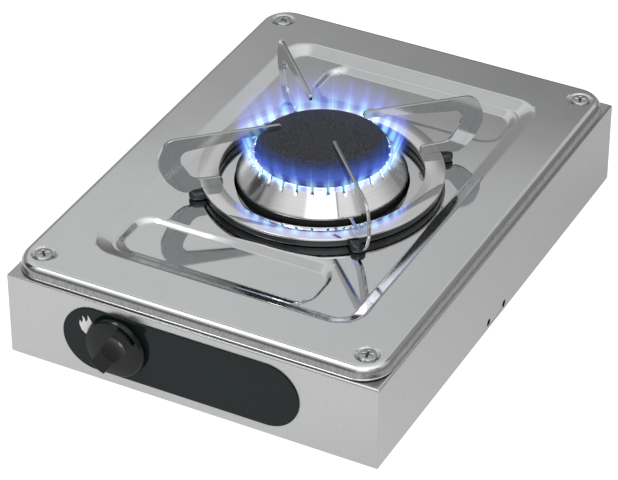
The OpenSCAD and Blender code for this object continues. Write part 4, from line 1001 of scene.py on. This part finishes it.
def stand_flames(data, low, high, turned_side=False):
    """Stands a pair of lamps over each port, their length from a low to a high (radius, height): seen from
    inside and outside, or from both sides where they are turned side on."""
    for number in range(FLAME_PORTS):
        a = (number + 0.5) * 2 * np.pi / FLAME_PORTS
        out, along = np.array([np.cos(a), np.sin(a), 0]), np.array([-np.sin(a), np.cos(a), 0])
        foot, tip = (out * r + np.array([0, 0, z]) for r, z in (low, high))
        axis = (tip - foot) / np.linalg.norm(tip - foot)
        face = np.cross(axis, along)
        for side in (along, -along) if turned_side else (face, -face):
            lamp = bpy.data.objects.new(f"{data.name}_{number:02d}", data)
            lamp.visible_camera = True
            lamp.light_linking.receiver_collection = dull_to_flames
            lamp.matrix_world = placed(np.cross(axis, side), axis, side, (foot + tip) / 2 * MM)
            bpy.context.scene.collection.objects.link(lamp)


facing = flame_lamp(
    "flame_light", width=20, tall=28, streak=(0.11, 0.23, 0.16), veil=(0.032, 0.050, 0.27),
    streak_side=(0.07, 0.20), streak_top=(0.20, 0.56), veil_top=(0.40, 1.0),
)
stand_flames(facing, *PORT_FLAME)
side_on = flame_lamp(
    "flame_light_side", width=12, tall=28, streak=(0.09, 0.20, 0.15), veil=(0.022, 0.036, 0.19),
    streak_side=(0.08, 0.32), streak_top=(0.12, 0.50), veil_top=(0.34, 1.0),
)
stand_flames(side_on, *PORT_FLAME, turned_side=True)
over_cap = flame_lamp(
    "flame_light_inner", width=20, tall=17, streak=(0, 0.01, 0.02), veil=(0, 0.015, 0.10),
    streak_side=(0.08, 0.27), streak_top=(0.2, 0.6), veil_top=(0.34, 1.0),
)
stand_flames(over_cap, *CAP_FLAME)


# ------------------------ key lamp and room


def area_light(name, place, aim, side, power):
    """Square lamp at a place, turned to aim at a point."""
    data = bpy.data.lights.new(name, "AREA")
    data.shape, data.size, data.size_y, data.energy = "RECTANGLE", side, side, power
    lamp = bpy.data.objects.new(name, data)
    way = Vector(place) - Vector(aim)
    lamp.matrix_world = Matrix.Translation(place) @ way.to_track_quat("Z", "Y").to_matrix().to_4x4()
    bpy.context.scene.collection.objects.link(lamp)


area_light("key", place=(-0.6, -0.5, 1.7), aim=(0, 0, 0.06), side=0.5, power=5)

world = bpy.data.worlds.new("studio")
bpy.context.scene.world = world
world.use_nodes = True
sky = world.node_tree
heading = linked(sky, "ShaderNodeTexCoord").outputs["Generated"]
height = linked(sky, "ShaderNodeSeparateXYZ", Vector=heading).outputs["Z"]
flat_heading = linked(sky, "ShaderNodeVectorMath", {"operation": "MULTIPLY"}, i0=heading, i1=(1, 1, 0))
level = linked(sky, "ShaderNodeVectorMath", {"operation": "NORMALIZE"}, i0=flat_heading.outputs["Vector"])


def towards(x, y):
    """How far a sky direction points towards a level one."""
    return dot(sky, heading, (x, y, 0))


def product(first, second):
    """Product of two values in the sky."""
    return maths(sky, "MULTIPLY", first, second)


def band(value, rise, fall):
    """Rises from 0 to 1 between two values, and falls back to 0 between two others."""
    return product(between(sky, value, 0, 1, *rise), between(sky, value, 1, 0, *fall))


def column(degrees, half, edge):
    """1 within half a width of a bearing and 0 beyond it, with a soft edge, all in degrees on the map,
    counted from +X to +Y."""
    way = (np.cos(np.radians(degrees)), np.sin(np.radians(degrees)), 0)
    near, far = np.cos(np.radians(half)), np.cos(np.radians(half + edge))
    return between(sky, dot(sky, level.outputs["Vector"], way), 0, 1, far, near)


def neutral(value):
    """Grey colour of a value."""
    return linked(sky, "ShaderNodeCombineColor", i0=value, i1=value, i2=value).outputs["Color"]


def wall_tones():
    """Grey of the room by height, from the level of the table up to the ceiling."""
    tones = (
        (0.0, 0.37), (0.30, 0.38), (0.45, 0.44), (0.51, 0.515), (0.540, 0.55), (0.553, 0.755), (0.65, 0.82),
        (0.85, 0.95), (1.0, 1.1),
    )
    ramp = linked(sky, "ShaderNodeValToRGB", Fac=height)
    elements = ramp.color_ramp.elements
    while len(elements) < len(tones):
        elements.new(0.5)
    for element, (at, tone) in zip(elements, tones):
        element.position, element.color = at, (tone, tone, tone, 1)
    return ramp.outputs["Color"]


def dark_parts():
    """Share of light lost behind the right corner, higher up behind, and at the ceiling on the left."""
    aside, east, north = towards(0.866, 0.5), towards(1, 0), towards(0, 1)
    corner_loss = between(sky, height, 0.40, 0.17, 0.53, 0.56)
    corner_loss = product(corner_loss, between(sky, height, 1, 0, 0.65, 0.85))
    corner = product(band(aside, (0.0, 0.125), (0.2, 0.4)), corner_loss)
    rear_loss = maths(
        sky, "ADD", between(sky, east, 0, 0.10, -0.32, -0.12), between(sky, east, 0, 0.50, 0.20, 0.28)
    )
    rear_place = product(band(height, (0.585, 0.62), (0.74, 0.80)), between(sky, north, 0, 1, 0.4, 0.6))
    ceiling = product(between(sky, height, 0, 0.27, 0.80, 0.86), between(sky, east, 1, 0, -0.30, -0.15))
    ceiling = product(ceiling, band(north, (0.02, 0.12), (0.42, 0.55)))
    return maths(sky, "ADD", maths(sky, "MAXIMUM", corner, product(rear_loss, rear_place)), ceiling)


def dark_posts():
    """Dark uprights round the room, which streak the turned crown, as (bearing, half width, strength)."""
    posts = 0.0
    for degrees, half, strength in ((196, 10, 0.92), (219, 3, 0.35), (351, 5, 0.62), (62, 7, 0.40)):
        posts = maths(sky, "ADD", posts, product(column(degrees, half, 3), strength))
    return product(posts, between(sky, height, 1, 0, 0.65, 0.80))


def soft_boxes():
    """Light of a wide box overhead, a window lower down at the front, and a weak wing at the right."""
    above_side = between(sky, towards(0.462, -0.887), 0, 0.65, -0.15, 0.2)
    above = product(between(sky, height, 0, 1, 0.66, 0.84), above_side)
    window = product(band(height, (0.06, 0.24), (0.80, 0.95)), column(297, 20, 5))
    wing_side = between(sky, towards(0.985, -0.17), 0, 0.38, 0.55, 0.85)
    wing = product(band(height, (0.02, 0.2), (0.45, 0.6)), wing_side)
    return maths(sky, "ADD", maths(sky, "ADD", above, window), wing)


walls = mixed(sky, 1.0, wall_tones(), neutral(maths(sky, "SUBTRACT", 1.0, dark_parts())), "MULTIPLY")
walls = mixed(sky, dark_posts(), walls, (0.02, 0.02, 0.02))
light = mixed(sky, 1.0, walls, neutral(soft_boxes()), "ADD")
sky.links.new(light, sky.nodes["Background"].inputs["Color"])
sky.nodes["Background"].inputs["Strength"].default_value = 1.0

bpy.context.scene.view_settings.view_transform = "Standard"


# ------------------------ camera

AZIMUTH, ELEVATION = np.radians(27.473), np.radians(34.984)
CAMERA_PLACE = (0.66314, -1.29188, 1.0357)
LENS, SENSOR, FAR_END = 174.34, 36, 20
back = np.array(
    [np.sin(AZIMUTH) * np.cos(ELEVATION), -np.cos(AZIMUTH) * np.cos(ELEVATION), np.sin(ELEVATION)]
)
right = np.cross([0, 0, 1], back)
right /= np.linalg.norm(right)
camera_data = bpy.data.cameras.new("camera")
camera_data.lens, camera_data.sensor_width, camera_data.sensor_fit = LENS, SENSOR, "HORIZONTAL"
camera_data.clip_end = FAR_END
camera = bpy.data.objects.new("camera", camera_data)
camera.matrix_world = placed(right, np.cross(back, right), back, CAMERA_PLACE)
bpy.context.scene.collection.objects.link(camera)
bpy.context.scene.camera = camera
